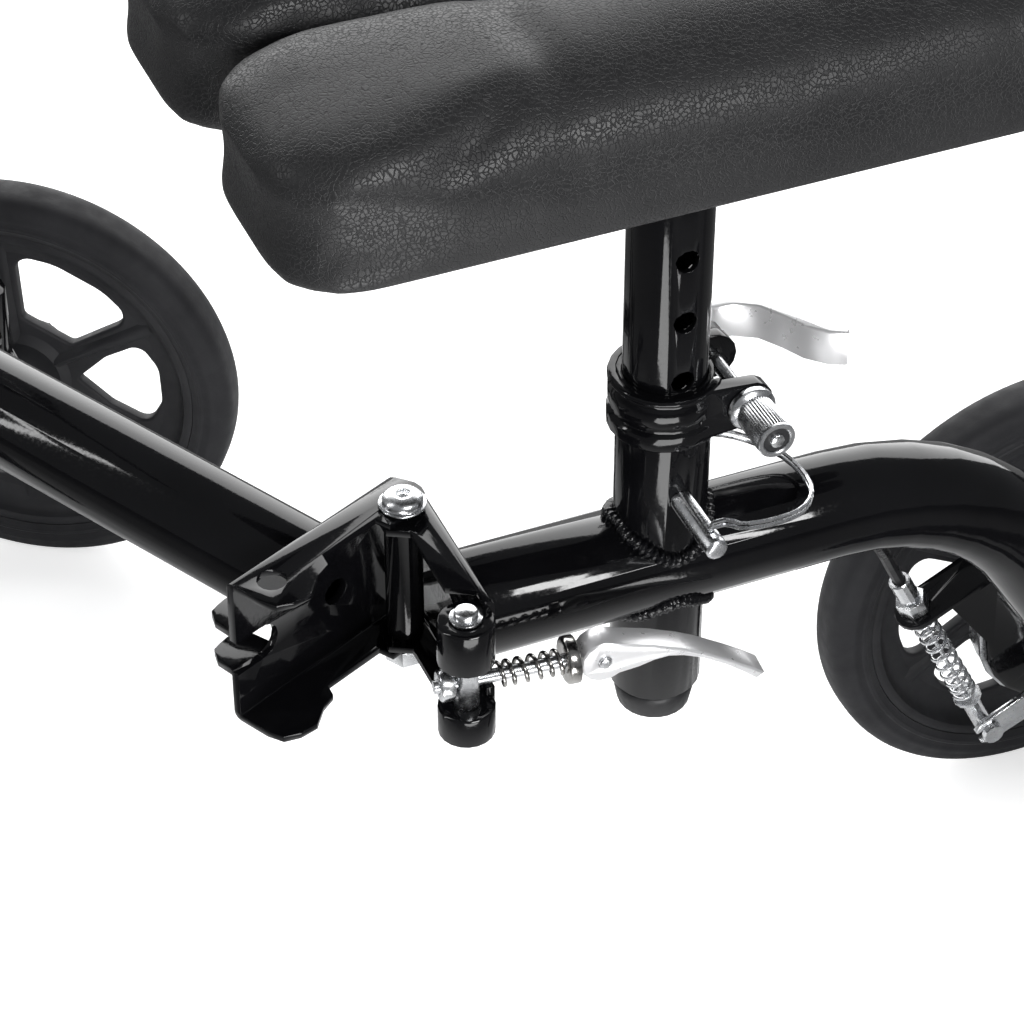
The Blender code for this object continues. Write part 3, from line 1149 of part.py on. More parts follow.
def build_latch(frame):
    top = TUBE_Z + BOSS_TOP - LATCH_Z
    bottom = TUBE_Z + BOSS_BOTTOM - LATCH_Z
    pin = lathe([(0, bottom - 1.4 * MM), (CROSS_PIN_R - 0.5 * MM, bottom - 1.4 * MM),
                 (CROSS_PIN_R, bottom - 0.9 * MM), (CROSS_PIN_R, top + GAP),
                 (5.6 * MM, top + GAP), (5.6 * MM, top + 1.3 * MM), (4.1 * MM, top + 1.3 * MM),
                 (4.1 * MM, top + 3.4 * MM), (3.2 * MM, top + 4.1 * MM), (0, top + 4.2 * MM)], 16)
    cut(pin, rod(ROD_R + GAP, (-0.02, 0, 0), (0.02, 0, 0), 12))
    place(pin, "latch_cross_pin", ZINC, frame)

    nut_x = -CROSS_PIN_R - GAP
    bolt = rod(ROD_R, (nut_x - LATCH_NUT_T - 1.5 * MM, 0, 0), (LATCH_PIVOT, 0, 0), 12)
    cheek = LATCH_LEVER_W / 2
    eye = rod(4.6 * MM, (LATCH_PIVOT, -2.2 * MM, 0), (LATCH_PIVOT, 2.2 * MM, 0), 14)
    pivot = rod(2.2 * MM, (LATCH_PIVOT, -cheek - 1.0 * MM, 0), (LATCH_PIVOT, cheek + 1.0 * MM, 0),
                16, 0.4 * MM)
    join(bolt, eye, pivot)
    place(bolt, "latch_rod", ZINC, frame)

    nut = rod(LATCH_NUT_R, (nut_x - LATCH_NUT_T, 0, 0), (nut_x, 0, 0), 14, 0.6 * MM)
    cut(nut, rod(ROD_R + 0.2 * MM, (-0.03, 0, 0), (0, 0, 0), 12))
    place(nut, "latch_nut", ZINC, frame)

    seat = lathe([(ROD_R + GAP, SEAT_AT), (SEAT_R - 0.8 * MM, SEAT_AT),
                  (SEAT_R, SEAT_AT + 0.8 * MM), (SEAT_R, SEAT_AT + SEAT_T),
                  (SEAT_R - 1.4 * MM, SEAT_AT + SEAT_T),
                  (SEAT_R - 3.0 * MM, SEAT_AT + SEAT_T - 1.4 * MM),
                  (ROD_R + GAP, SEAT_AT + SEAT_T - 1.4 * MM)], 20, "X")
    cut(seat, rod(LATCH_CAM_R + GAP, (LATCH_PIVOT, -0.02, 0), (LATCH_PIVOT, 0.02, 0), 20))
    place(seat, "latch_seat", NICKEL, frame)

    coil_r = ROD_R + SPRING_WIRE_R + 0.9 * MM
    coil = coil_points(5.5, coil_r, (CROSS_PIN_R + 5.6 * MM, 0, 0), (SEAT_AT - GAP, 0, 0),
                       SPRING_WIRE_R, 8)
    least_gap("latch_spring", coil, SPRING_WIRE_R, 5)
    spring = curve_tube("latch_spring", coil, SPRING_WIRE_R, 1, NICKEL)
    spring.parent = frame

    # cam lever in its own XZ plane, pivot at the origin, tip along +X
    length = LATCH_LEVER_L
    r = LATCH_CAM_R
    slot = ROD_R + 0.4 * MM
    upper = [(0, r), (length * 0.12, r * 0.70), (length * 0.30, r * 0.33),
             (length * 0.48, -r * 0.18), (length * 0.60, -r * 0.60), (length * 0.78, -r * 1.37),
             (length * 0.90, -r * 1.93), (length * 0.99, -r * 2.41)]
    lower = [(length * 0.943, -r * 2.65), (length * 0.87, -r * 2.20), (length * 0.75, -r * 1.55),
             (length * 0.60, -r * 0.90), (length * 0.48, -r * 0.55), (length * 0.39, -r * 0.41),
             (length * 0.30, -r * 0.47), (length * 0.21, -r * 0.65)]
    plan = upper + lower + arc_points((0, 0), r, -50, -250, 8)
    lever = prism(plan, -LATCH_LEVER_W / 2, LATCH_LEVER_W / 2, 0.6 * MM)
    move(lever, Matrix.Rotation(math.radians(90), 4, "X"))
    cut(lever, rod(2.2 * MM + GAP, (0, -0.02, 0), (0, 0.02, 0), 12),
        rod(4.6 * MM + GAP, (0, -2.2 * MM - GAP, 0), (0, 2.2 * MM + GAP, 0), 14),
        box((0.03 + slot, 2 * ROD_R + 2 * GAP, 0.03 + slot),
            ((slot - 0.03) / 2, 0, (slot - 0.03) / 2)))
    place(lever, "latch_lever", ALUMINIUM, frame)
    lever.location = (LATCH_PIVOT, 0, 0)


# Steering column, stem and handlebar: local frame on the column's axis

def build_column(frame):
    top = STEM_PIVOT_Z - 22 * MM
    obj = rod(COLUMN_R, (0, 0, COLUMN_BOTTOM), (0, 0, top), FAR_SIDES)
    arm_high = HEAD_BOTTOM - GAP - 0.3 * MM
    arm_low = arm_high - ARM_T
    pin_low = arm_low - TIE_EYE_H - 3 * MM
    plan = arc_points((0, 0), COLUMN_R + 3 * MM, -80, 80, 4)
    plan += [(ARM_REACH, PITMAN_HALF + TIE_EYE_R), (ARM_REACH - TIE_EYE_R, PITMAN_HALF),
             (ARM_REACH - TIE_EYE_R, -PITMAN_HALF), (ARM_REACH, -PITMAN_HALF - TIE_EYE_R)]
    arm = prism(plan, arm_low, arm_high)
    join(obj, arm)
    for sign in (-1, 1):
        join(obj, rod(TIE_PIN_R, (ARM_REACH, sign * PITMAN_HALF, pin_low),
                      (ARM_REACH, sign * PITMAN_HALF, arm_low + 1 * MM), 8))
    rest = lathe([(HEAD_R, HEAD_TOP + GAP), (HEAD_R, HEAD_TOP + 6 * MM),
                  (COLUMN_R - 1 * MM, HEAD_TOP + 9 * MM), (COLUMN_R - 1 * MM, HEAD_TOP + GAP)],
                 FAR_SIDES)
    join(obj, rest)
    base = box((34 * MM, CLEVIS_W, 5 * MM), (0, 0, top), 0.8 * MM)
    join(obj, base)
    for sign in (-1, 1):
        plan = rounded([(-17 * MM, top - 2 * MM), (17 * MM, top - 2 * MM),
                        (13 * MM, STEM_PIVOT_Z + 14 * MM), (-13 * MM, STEM_PIVOT_Z + 14 * MM)],
                       [0, 0, 10 * MM, 10 * MM], 2)
        cheek = prism(plan, -CLEVIS_T / 2, CLEVIS_T / 2)
        move(cheek, Matrix.Translation((0, sign * (CLEVIS_W - CLEVIS_T) / 2, 0))
             @ Matrix.Rotation(math.radians(90), 4, "X"))
        join(obj, cheek)
    pin = rod(STEM_PIVOT_R, (0, -CLEVIS_W / 2 - 3 * MM, STEM_PIVOT_Z),
              (0, CLEVIS_W / 2 + 3 * MM, STEM_PIVOT_Z), 12)
    join(obj, pin)
    place(obj, "steering_column", BLACK_PAINT, frame)


def build_stem(frame):
    """Lower stem on the fold pin, with a lug; its origin is the pin."""
    tube = ring_tube(COLUMN_R, STEM_BORE_R, (0, 0, STEM_PIVOT_Z + 30 * MM), (0, 0, STEM_TOP),
                     FAR_SIDES)
    lug_w = CLEVIS_W - 2 * CLEVIS_T - 2 * GAP
    lug = box((26 * MM, lug_w, 38 * MM), (0, 0, STEM_PIVOT_Z + 12 * MM), 2.0 * MM)
    ear_in = FOLD_LEVER_W / 2 + GAP
    for sign in (-1, 1):
        ear = box((16 * MM, 4 * MM, 14 * MM),
                  (FOLD_PIN_X - 3 * MM, sign * (ear_in + 2 * MM), FOLD_PIN_Z))
        join(lug, ear)
    join(tube, lug)
    cut(tube, rod(STEM_PIVOT_R + GAP, (0, -0.04, STEM_PIVOT_Z), (0, 0.04, STEM_PIVOT_Z), 12),
        rod(FOLD_PIN_R + GAP, (FOLD_PIN_X, -0.04, FOLD_PIN_Z), (FOLD_PIN_X, 0.04, FOLD_PIN_Z),
            10))
    skewer_x = COLUMN_R + 8.0 * MM
    skewer_z = STEM_TOP - STEM_COLLAR_H / 2
    collar = split_collar(0, STEM_TOP - STEM_COLLAR_H, STEM_TOP, COLUMN_R - 1.3 * MM,
                          COLUMN_R + 1.6 * MM, skewer_x, skewer_z, STEM_EAR_OUT, False)
    join(tube, collar)
    cut(tube, box((0.04, CLAMP_SLIT, 0.03), (0.02, 0, STEM_TOP - 0.015 + 1 * MM)))
    place(tube, "stem_tube", BLACK_PAINT, frame, (0, 0, STEM_PIVOT_Z))
    clamp_set("stem_clamp", frame, skewer_x, 0, skewer_z, STEM_EAR_OUT, 0.9, False)


def build_fold_lever(frame):
    """Catch lever on the stem's lug; its nose bears on the clevis base behind the column."""
    plan = rounded([(-3.5 * MM, -3.5 * MM), (-2.5 * MM, -27 * MM), (3 * MM, -29 * MM),
                    (5.5 * MM, -6 * MM), (14 * MM, -2.5 * MM), (30 * MM, 1 * MM),
                    (34 * MM, 4 * MM), (33 * MM, 8 * MM), (14 * MM, 5.5 * MM),
                    (3 * MM, 4.5 * MM), (-3.5 * MM, 3.5 * MM)],
                   [3 * MM, 1 * MM, 1 * MM, 3 * MM, 0, 0, 1.5 * MM, 1.5 * MM, 0, 0, 3 * MM], 2)
    lever = prism(plan, -FOLD_LEVER_W / 2, FOLD_LEVER_W / 2, 0.6 * MM)
    move(lever, Matrix.Rotation(math.radians(90), 4, "X"))
    reach = FOLD_LEVER_W / 2 + GAP + 4 * MM + 1.5 * MM
    join(lever, rod(FOLD_PIN_R, (0, -reach, 0), (0, reach, 0), 10))
    place(lever, "stem_fold_lever", ALUMINIUM, frame)
    lever.location = (FOLD_PIN_X, 0, FOLD_PIN_Z)


def build_handlebar(frame):
    riser = sweep_mesh([(0, 0, RISER_BOTTOM), (0, 0, BAR_Z - 6 * MM)], RISER_R, 16,
                       RISER_R - 1.8 * MM)
    points = [(0, 0, BAR_Z), (0, BAR_BEND_Y - 48 * MM, BAR_Z),
              (0.004, BAR_BEND_Y - 22 * MM, BAR_Z + BAR_RISE * 0.6),
              (BAR_BEND_X, BAR_BEND_Y, BAR_Z + BAR_RISE),
              (BAR_SWEEP, BAR_HALF, BAR_Z + BAR_RISE)]
    right = sweep_mesh(points, BAR_R, 14)
    left = sweep_mesh([(x, -y, z) for x, y, z in points], BAR_R, 14)
    middle = rod(BAR_R + 1.6 * MM, (0, -0.022, BAR_Z), (0, 0.022, BAR_Z), 14)
    join(riser, middle, right, left)
    place(riser, "handlebar", BLACK_PAINT, frame)
    for name, sign in (("grip_left", -1), ("grip_right", 1)):
        end = Vector((BAR_SWEEP, sign * BAR_HALF, BAR_Z + BAR_RISE))
        inner = Vector((BAR_BEND_X, sign * BAR_BEND_Y, BAR_Z + BAR_RISE))
        along = (end - inner).normalized()
        start = end - along * (GRIP_L - 4 * MM)
        length = GRIP_L
        r = GRIP_R
        bore = BAR_R + GAP
        profile = [(bore, 0), (r, 0), (r + 2.5 * MM, 1.5 * MM), (r + 2.5 * MM, 4 * MM),
                   (r, 6 * MM), (r - 0.8 * MM, length * 0.35), (r, length * 0.65),
                   (r - 0.6 * MM, length - 10 * MM), (r + 1 * MM, length - 4 * MM),
                   (r - 1 * MM, length), (0, length), (0, length - 3.5 * MM),
                   (bore, length - 3.5 * MM)]
        grip = lathe(profile, 16)
        turn = along.to_track_quat("Z", "Y").to_matrix().to_4x4()
        move(grip, Matrix.Translation(start) @ turn)
        place(grip, name, RUBBER, frame)


def brake_mount_frame():
    """Point on the right bar inboard of the grip, and the bar's direction there."""
    end = Vector((BAR_SWEEP, BAR_HALF, BAR_Z + BAR_RISE))
    inner = Vector((BAR_BEND_X, BAR_BEND_Y, BAR_Z + BAR_RISE))
    along = (end - inner).normalized()
    return end - along * (GRIP_L + 8 * MM), along


def build_brake_lever(frame):
    """Clamp ring with a pivot block ahead of the bar, and the lever blade on it."""
    at, along = brake_mount_frame()
    turn = along.to_track_quat("Y", "Z").to_matrix().to_4x4()
    base = Matrix.Translation(at) @ turn
    ring = ring_tube(BAR_R + 4 * MM, BAR_R + GAP, (0, -8 * MM, 0), (0, 8 * MM, 0), 16)
    block = box((24 * MM, 18 * MM, 12 * MM), (-24 * MM, 0, 0), 1.5 * MM)
    join(ring, block)
    cut(ring, box((22 * MM, 32 * MM, 5.6 * MM), (-32 * MM, 9.5 * MM, 0)),
        rod(2 * MM + GAP, (-31 * MM, 0, -0.02), (-31 * MM, 0, 0.02), 12),
        rod(BAR_R + GAP, (0, -0.02, 0), (0, 0.02, 0), 16))
    barrel = ring_tube(4 * MM, CABLE_R + GAP, (-24 * MM, -7.5 * MM, 0), (-24 * MM, -20 * MM, 0), 12)
    join(ring, barrel)
    move(ring, base)
    place(ring, "brake_lever_mount", BLACK_PLASTIC, frame)
    plan = rounded([(-5 * MM, -5 * MM), (5 * MM, -5 * MM), (6 * MM, 8 * MM), (-6 * MM, 30 * MM),
                    (-17 * MM, 70 * MM), (-24 * MM, 112 * MM), (-31 * MM, 114 * MM),
                    (-25 * MM, 70 * MM), (-14 * MM, 28 * MM)],
                   [4 * MM, 4 * MM, 4 * MM, 10 * MM, 14 * MM, 3 * MM, 3 * MM, 14 * MM, 8 * MM], 3)
    blade = prism(plan, -2.4 * MM, 2.4 * MM, 0.6 * MM)
    pin = rod(2 * MM, (0, 0, -6.6 * MM), (0, 0, 6.6 * MM), 12)
    join(blade, pin)
    move(blade, turn)
    place(blade, "brake_lever", ALUMINIUM, frame)
    blade.location = base @ Vector((-31 * MM, 0, 0))
    return base


# Rear brake and its cable

def cable_line(along, across=0.0, y=BRAKE_Y):
    """Point on the cable's straight run: along it from the stop tab, and across it."""
    c, d = math.cos(CABLE_ANGLE), math.sin(CABLE_ANGLE)
    return Vector((STOP_X + c * along + d * across, y, STOP_Z - d * along + c * across))


def on_cable_line(obj, along):
    """Set an object built round +Z on the cable's line, with +Z down the line."""
    turn = Matrix.Rotation(math.pi / 2 + CABLE_ANGLE, 4, "Y")
    return move(obj, Matrix.Translation(cable_line(along)) @ turn)


def build_brake_drum():
    """Cup on the wheel, a shoe ring inside it, and the fixed plate that closes it."""
    wheel_y = TUBE_Y + REAR_HALF_TRACK
    back = wheel_y - RIM_HUB_L / 2 - GAP
    mouth = back - DRUM_W
    bore = REAR_AXLE_R + 1 * MM
    inner = DRUM_R - DRUM_WALL
    drum = lathe([(bore, back), (bore, back - DRUM_WALL), (inner, back - DRUM_WALL),
                  (inner, mouth), (DRUM_R + 1.5 * MM, mouth), (DRUM_R + 1.5 * MM, mouth + 3 * MM),
                  (DRUM_R, mouth + 4 * MM), (DRUM_R, back - 1 * MM), (DRUM_R - 1 * MM, back)],
                 24, "Y")
    place(drum, "brake_drum", ZINC)
    drum.location = (REAR_AXLE_X, 0, WHEEL_R)

    plate_out = mouth - GAP
    plate_in = plate_out - BACKPLATE_T
    plate = lathe([(REAR_AXLE_R + GAP, plate_in), (DRUM_R - 2 * MM, plate_in),
                   (DRUM_R, plate_in + 1 * MM), (DRUM_R, plate_out),
                   (REAR_AXLE_R + GAP, plate_out)], 24, "Y", (REAR_AXLE_X, 0, WHEEL_R))
    left = cable_line(0, TAB_R + 1 * MM)
    right = cable_line(0, TAB_R + 38 * MM)
    outline = [(left.x, left.z), (right.x, right.z), (REAR_AXLE_X, WHEEL_R + DRUM_R - 3 * MM),
               (REAR_AXLE_X - DRUM_R + 5 * MM, WHEEL_R - 6 * MM)]
    arm = prism(rounded([(x, -z) for x, z in outline], [3 * MM, 8 * MM, 0, 0], 3),
                plate_in, plate_out)
    move(arm, AXES["Y"])
    tab_plan = arc_points((0, 0), TAB_R, 90, 270, 8)
    tab_plan += [(TAB_R + 34 * MM, -TAB_R), (TAB_R + 34 * MM, TAB_R)]
    tab = prism(tab_plan, -TAB_T / 2, TAB_T / 2, 0.5 * MM)
    turn = Matrix.Rotation(CABLE_ANGLE - math.pi / 2, 4, "Y")
    move(tab, Matrix.Translation(cable_line(0)) @ turn)
    join(plate, arm, tab)
    cut(plate, on_cable_line(rod(3 * MM + GAP, (0, 0, -0.01), (0, 0, 0.01), 12), 0),
        rod(CAM_SHAFT_R + GAP, (BRAKE_PIVOT_X, plate_in - 0.01, BRAKE_PIVOT_Z),
            (BRAKE_PIVOT_X, plate_out + 0.01, BRAKE_PIVOT_Z)))
    place(plate, "brake_plate", BLACK_PAINT)

    shoe_low, shoe_high = mouth + 0.5 * MM, back - DRUM_WALL - 0.5 * MM
    outer = inner - 0.4 * MM
    to_cam = math.degrees(math.atan2(WHEEL_R - BRAKE_PIVOT_Z, BRAKE_PIVOT_X - REAR_AXLE_X))
    half_gap = 14
    plan = arc_points((0, 0), outer, to_cam + half_gap, to_cam + 360 - half_gap, 20)
    cam_r = math.hypot(WHEEL_R - BRAKE_PIVOT_Z, BRAKE_PIVOT_X - REAR_AXLE_X) - 5 * MM
    spread = math.degrees(math.asin((CAM_SHAFT_R + 0.6 * MM) / cam_r))
    ends = [(cam_r, to_cam - spread), (outer - SHOE_T, to_cam - spread - 22)]
    plan += [(r * math.cos(math.radians(a)), r * math.sin(math.radians(a))) for r, a in ends]
    plan += arc_points((0, 0), outer - SHOE_T, to_cam - 46, to_cam + 46 - 360, 14)
    ends = [(outer - SHOE_T, to_cam + spread + 22), (cam_r, to_cam + spread)]
    plan += [(r * math.cos(math.radians(a)), r * math.sin(math.radians(a))) for r, a in ends]
    shoe = prism(plan, shoe_low, shoe_high)
    move(shoe, Matrix.Translation((REAR_AXLE_X, 0, WHEEL_R)) @ AXES["Y"])
    place(shoe, "brake_shoe", BLACK_PLASTIC)

    arm_y = BRAKE_Y - BRAKE_SPRING_R - 4.5 * MM - ARM_PLATE_T / 2
    anchor = cable_line((ANCHOR_X - STOP_X) / math.cos(CABLE_ANGLE))
    reach = Vector((anchor.x - BRAKE_PIVOT_X, anchor.z - BRAKE_PIVOT_Z)).length
    turn = math.atan2(anchor.z - BRAKE_PIVOT_Z, anchor.x - BRAKE_PIVOT_X)
    plan = arc_points((0, 0), 8 * MM, 110, 250, 6)
    plan += [(reach - 8 * MM, -6.5 * MM), (reach + 3 * MM, -6.5 * MM), (reach + 6 * MM, -4 * MM),
             (reach + 6 * MM, 4 * MM), (reach + 3 * MM, 6.5 * MM), (reach - 8 * MM, 6.5 * MM)]
    lever = prism(plan, -ARM_PLATE_T / 2, ARM_PLATE_T / 2, 0.5 * MM)
    pin_r = ANCHOR_PIN_R + GAP
    cut(lever, rod(pin_r, (reach - 1 * MM, 0, -0.01), (reach - 1 * MM, 0, 0.01)),
        box((0.02, 2 * pin_r, 0.02), (reach - 1 * MM + 0.01, 0, 0)))
    shaft_low = -5.5 * MM
    shaft = rod(CAM_SHAFT_R, (0, 0, shaft_low), (0, 0, shoe_high - arm_y), 12)
    boss = rod(6.5 * MM, (0, 0, -3.5 * MM), (0, 0, plate_in - GAP - arm_y), 14)
    join(lever, boss, shaft)
    flats = shoe_low - arm_y - 0.3 * MM
    for sign in (-1, 1):
        cut(lever, box((20 * MM, 4 * MM, 0.03), (0, sign * (2.6 * MM + 2 * MM), flats + 0.015)))
    move(lever, Matrix.Rotation(math.pi / 2, 4, "X") @ Matrix.Rotation(math.pi, 4, "X")
         @ Matrix.Rotation(-turn, 4, "Z"))
    place(lever, "brake_arm", ZINC)
    lever.location = (BRAKE_PIVOT_X, arm_y, BRAKE_PIVOT_Z)
    return arm_y, anchor


def build_brake_cable_end(arm_y, anchor):
    """Adjuster with its lock nut on the stop tab, return spring and cable anchor."""
    nut_low = -TAB_T / 2 - GAP - LOCK_NUT_T
    barrel_top = nut_low - BARREL_L
    adjuster = lathe([(CABLE_R + GAP, barrel_top), (BARREL_OUT_R - 0.6 * MM, barrel_top),
                      (BARREL_OUT_R, barrel_top + 0.6 * MM), (BARREL_OUT_R, nut_low - 1 * MM),
                      (3 * MM, nut_low - 0.3 * MM), (3 * MM, 7 * MM), (INNER_WIRE_R + GAP, 7 * MM),
                      (INNER_WIRE_R + GAP, barrel_top + 8 * MM),
                      (CABLE_R + GAP, barrel_top + 8 * MM)], 14)
    place(on_cable_line(adjuster, 0), "cable_adjuster", ZINC)
    nut = hexagon(LOCK_NUT_AF, nut_low, nut_low + LOCK_NUT_T)
    cut(nut, rod(3 * MM + 0.2 * MM, (0, 0, -0.03), (0, 0, 0.03), 12))
    place(on_cable_line(nut, 0), "adjuster_nut", ZINC)

    spring_low = TAB_T / 2 + GAP
    spring_end = spring_low + BRAKE_SPRING_L
    coil = coil_points(BRAKE_TURNS, BRAKE_SPRING_R, cable_line(spring_low),
                       cable_line(spring_end), BRAKE_WIRE_R, 8)
    least_gap("brake_spring", coil, BRAKE_WIRE_R, 5)
    curve_tube("brake_spring", coil, BRAKE_WIRE_R, 1, ZINC)

    pin_at = (anchor - cable_line(0)).length
    washer = spring_end + GAP
    body = lathe([(0, pin_at + 7 * MM), (4 * MM, pin_at + 7 * MM), (4 * MM, washer + 1.5 * MM),
                  (BRAKE_SPRING_R + 1.4 * MM, washer + 1.5 * MM),
                  (BRAKE_SPRING_R + 1.4 * MM, washer), (INNER_WIRE_R, washer),
                  (INNER_WIRE_R, nut_low + 6 * MM), (0, nut_low + 6 * MM)], 12)
    on_cable_line(body, 0)
    pin = rod(ANCHOR_PIN_R, (anchor.x, arm_y - 3 * MM, anchor.z), (anchor.x, BRAKE_Y, anchor.z))
    head = rod(4.5 * MM, (anchor.x, arm_y - 4.5 * MM, anchor.z),
               (anchor.x, arm_y - ARM_PLATE_T / 2 - GAP, anchor.z))
    join(body, pin, head)
    place(body, "cable_anchor", ZINC)
    return barrel_top


def build_cables(barrel_top, fold, steer, mount):
    """Brake cable in four lengths that meet face to face, from the brake to the lever."""
    level = TUBE_Z - 17 * MM
    end = cable_line(barrel_top + 8 * MM - GAP)
    rear_route = [end, cable_line(barrel_top + 2 * MM), cable_line(barrel_top - 5 * MM),
                  (0.2375, 0.0835, 0.178), (0.224, 0.0705, 0.200), (0.207, 0.045, 0.233),
                  (0.189, 0.020, 0.266), (0.165, 0.006, 0.287), (0.130, 0.003, level),
                  (0.080, 0.004, level), (0.055, 0.005, level), (0.040, 0.005, level)]
    front = Matrix.Rotation(-FOLD_ANGLE, 4, "Z")
    join_at = front @ Vector((-0.040, 0.006, level))
    before = front @ Vector((-0.030, 0.006, level))
    hinge_route = [(0.040 - GAP, 0.005, level), (0.031, 0.0055, level), (0.015, 0.0105, level),
                   (0.002, 0.0195, level), before, join_at]
    front_route = [(-0.040 - GAP, 0.006, level), (-0.052, 0.006, level), (-0.100, 0.003, level),
                   (-0.200, 0.003, level), (-0.290, 0.003, level), (-0.310, 0.004, level),
                   (-0.322, 0.006, level), (-0.334, 0.008, level)]
    column = Matrix.Translation((-KING_U, TUBE_Y, 0)) @ Matrix.Rotation(STEER_ANGLE, 4, "Z")
    to_column = column.inverted()
    first = to_column @ Vector((-0.334 - GAP, 0.00805, level))
    second = to_column @ Vector((-0.343, 0.0095, level))
    barrel = mount @ Vector((-24 * MM, -20 * MM + 6 * MM, 0))
    entry = mount @ Vector((-24 * MM, -20 * MM - 4 * MM, 0))
    lead = mount @ Vector((-25 * MM, -20 * MM - 14 * MM, -1 * MM))
    upper_route = [first, second, (0.044, 0.032, 0.330), (0.040, 0.038, 0.380),
                   (0.024, 0.037, 0.450), (0.010, 0.034, 0.540), (0.005, 0.033, 0.640),
                   (0.002, 0.035, 0.730), (-0.008, 0.045, 0.800), (-0.020, 0.063, 0.852),
                   lead, entry, barrel]
    for name, route, count, parent in (
            ("brake_cable_rear", rear_route, 25, None),
            ("brake_cable_hinge", hinge_route, 10, None),
            ("brake_cable_front", front_route, 18, fold),
            ("brake_cable_upper", upper_route, 32, steer)):
        cable = curve_tube(name, cable_points(route, count), CABLE_R, 2, BLACK_PLASTIC)
        cable.parent = parent


def build_parts():
    fold = empty("frame_fold_axis", None, (0, 0, 0), -FOLD_ANGLE)
    steer = empty("steering_axis", fold, (-KING_U, TUBE_Y, 0), STEER_ANGLE)
    latch = empty("latch_axis", None, (LATCH_X, LATCH_Y, LATCH_Z), LATCH_ANGLE)
    build_rear_tube()
    build_rear_axle()
    build_rear_bracket()
    build_hinge_pin()
    build_sleeve()
    build_seat_clamp()
    build_post()
    build_pad_plate()
    build_pad("pad_left", -1)
    build_pad("pad_right", 1)
    build_lock_pin()
    build_bail()
    build_latch(latch)
    build_front_bracket(fold)
    build_front_tube(fold)
    build_head_tube(fold)
    for name, sign in (("left", -1), ("right", 1)):
        king = empty("kingpin_axis_" + name, fold, (-KING_U, TUBE_Y + sign * KING_V, 0),
                     STEER_ANGLE)
        build_knuckle("knuckle_" + name, king, sign)
        build_wheel("front_%s" % name, king, (0, sign * WHEEL_OUT, WHEEL_R))
        arm = Matrix.Rotation(STEER_ANGLE, 2) @ Vector((ARM_REACH, sign * PITMAN_HALF))
        tie = empty("tie_rod_axis_" + name, fold, (-KING_U + arm.x, TUBE_Y + arm.y, 0))
        build_tie_rod("tie_rod_" + name, tie, sign)
        build_wheel("rear_%s" % name, None,
                    (REAR_AXLE_X, TUBE_Y + sign * REAR_HALF_TRACK, WHEEL_R))
    build_column(steer)
    build_stem(steer)
    build_fold_lever(steer)
    build_handlebar(steer)
    mount = build_brake_lever(steer)
    arm_y, anchor = build_brake_drum()
    barrel_top = build_brake_cable_end(arm_y, anchor)
    build_cables(barrel_top, fold, steer, mount)


def stand_on_origin():
    """Shift the whole object so that its box's bottom centre is the origin."""
    bpy.context.view_layer.update()
    graph = bpy.context.evaluated_depsgraph_get()
    corners = []
    for obj in bpy.data.objects:
        if obj.type == "EMPTY":
            continue
        shape = obj.evaluated_get(graph)
        world = shape.matrix_world
        points = np.array([tuple(world @ v.co) for v in shape.to_mesh().vertices])
        shape.to_mesh_clear()
        corners += [points.min(axis=0), points.max(axis=0)]
    low, high = np.min(corners, axis=0), np.max(corners, axis=0)
    centre = Vector(((low[0] + high[0]) / 2, (low[1] + high[1]) / 2, low[2]))
    for obj in bpy.data.objects:
        if obj.parent is None:
            obj.location -= centre


def main():
    for obj in list(bpy.data.objects):
        bpy.data.objects.remove(obj)
    build_parts()
    stand_on_origin()
    bpy.context.view_layer.update()


main()
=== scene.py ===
"""Looks of the folding knee walker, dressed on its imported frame. Metres, +Z up."""
import json
import math

import bmesh
import bpy
from mathutils import Matrix, Vector


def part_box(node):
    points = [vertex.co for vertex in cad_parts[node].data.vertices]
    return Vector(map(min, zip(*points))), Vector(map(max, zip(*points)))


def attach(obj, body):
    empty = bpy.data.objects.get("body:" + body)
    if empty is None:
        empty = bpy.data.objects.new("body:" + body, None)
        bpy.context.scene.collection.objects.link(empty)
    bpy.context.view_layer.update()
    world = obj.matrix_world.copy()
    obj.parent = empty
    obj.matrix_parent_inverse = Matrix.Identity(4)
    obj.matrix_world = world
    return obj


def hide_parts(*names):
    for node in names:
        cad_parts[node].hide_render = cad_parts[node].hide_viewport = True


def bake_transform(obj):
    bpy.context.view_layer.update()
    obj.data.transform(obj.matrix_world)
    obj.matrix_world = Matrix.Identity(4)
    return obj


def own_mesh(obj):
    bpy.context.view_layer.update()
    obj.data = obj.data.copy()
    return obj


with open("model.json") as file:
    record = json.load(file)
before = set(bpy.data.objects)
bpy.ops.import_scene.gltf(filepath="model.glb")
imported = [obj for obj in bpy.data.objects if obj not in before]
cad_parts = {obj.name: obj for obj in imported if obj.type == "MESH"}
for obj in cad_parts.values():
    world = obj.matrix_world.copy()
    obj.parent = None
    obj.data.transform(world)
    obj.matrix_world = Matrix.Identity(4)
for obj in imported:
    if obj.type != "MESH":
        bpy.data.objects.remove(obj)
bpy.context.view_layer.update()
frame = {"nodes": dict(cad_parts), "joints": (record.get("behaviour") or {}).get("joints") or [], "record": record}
nodes = frame["nodes"]
joints = {j["name"]: j for j in frame["joints"]}
MM = 0.001

HINGE = Vector(joints["frame_fold"]["pos_m"])
HINGE.z = 0.0


def here(x, y, z):
    """Millimetres from the hinge pin's foot on the floor, as the part is drawn."""
    return HINGE + Vector((x, y, z)) * MM


# Materials

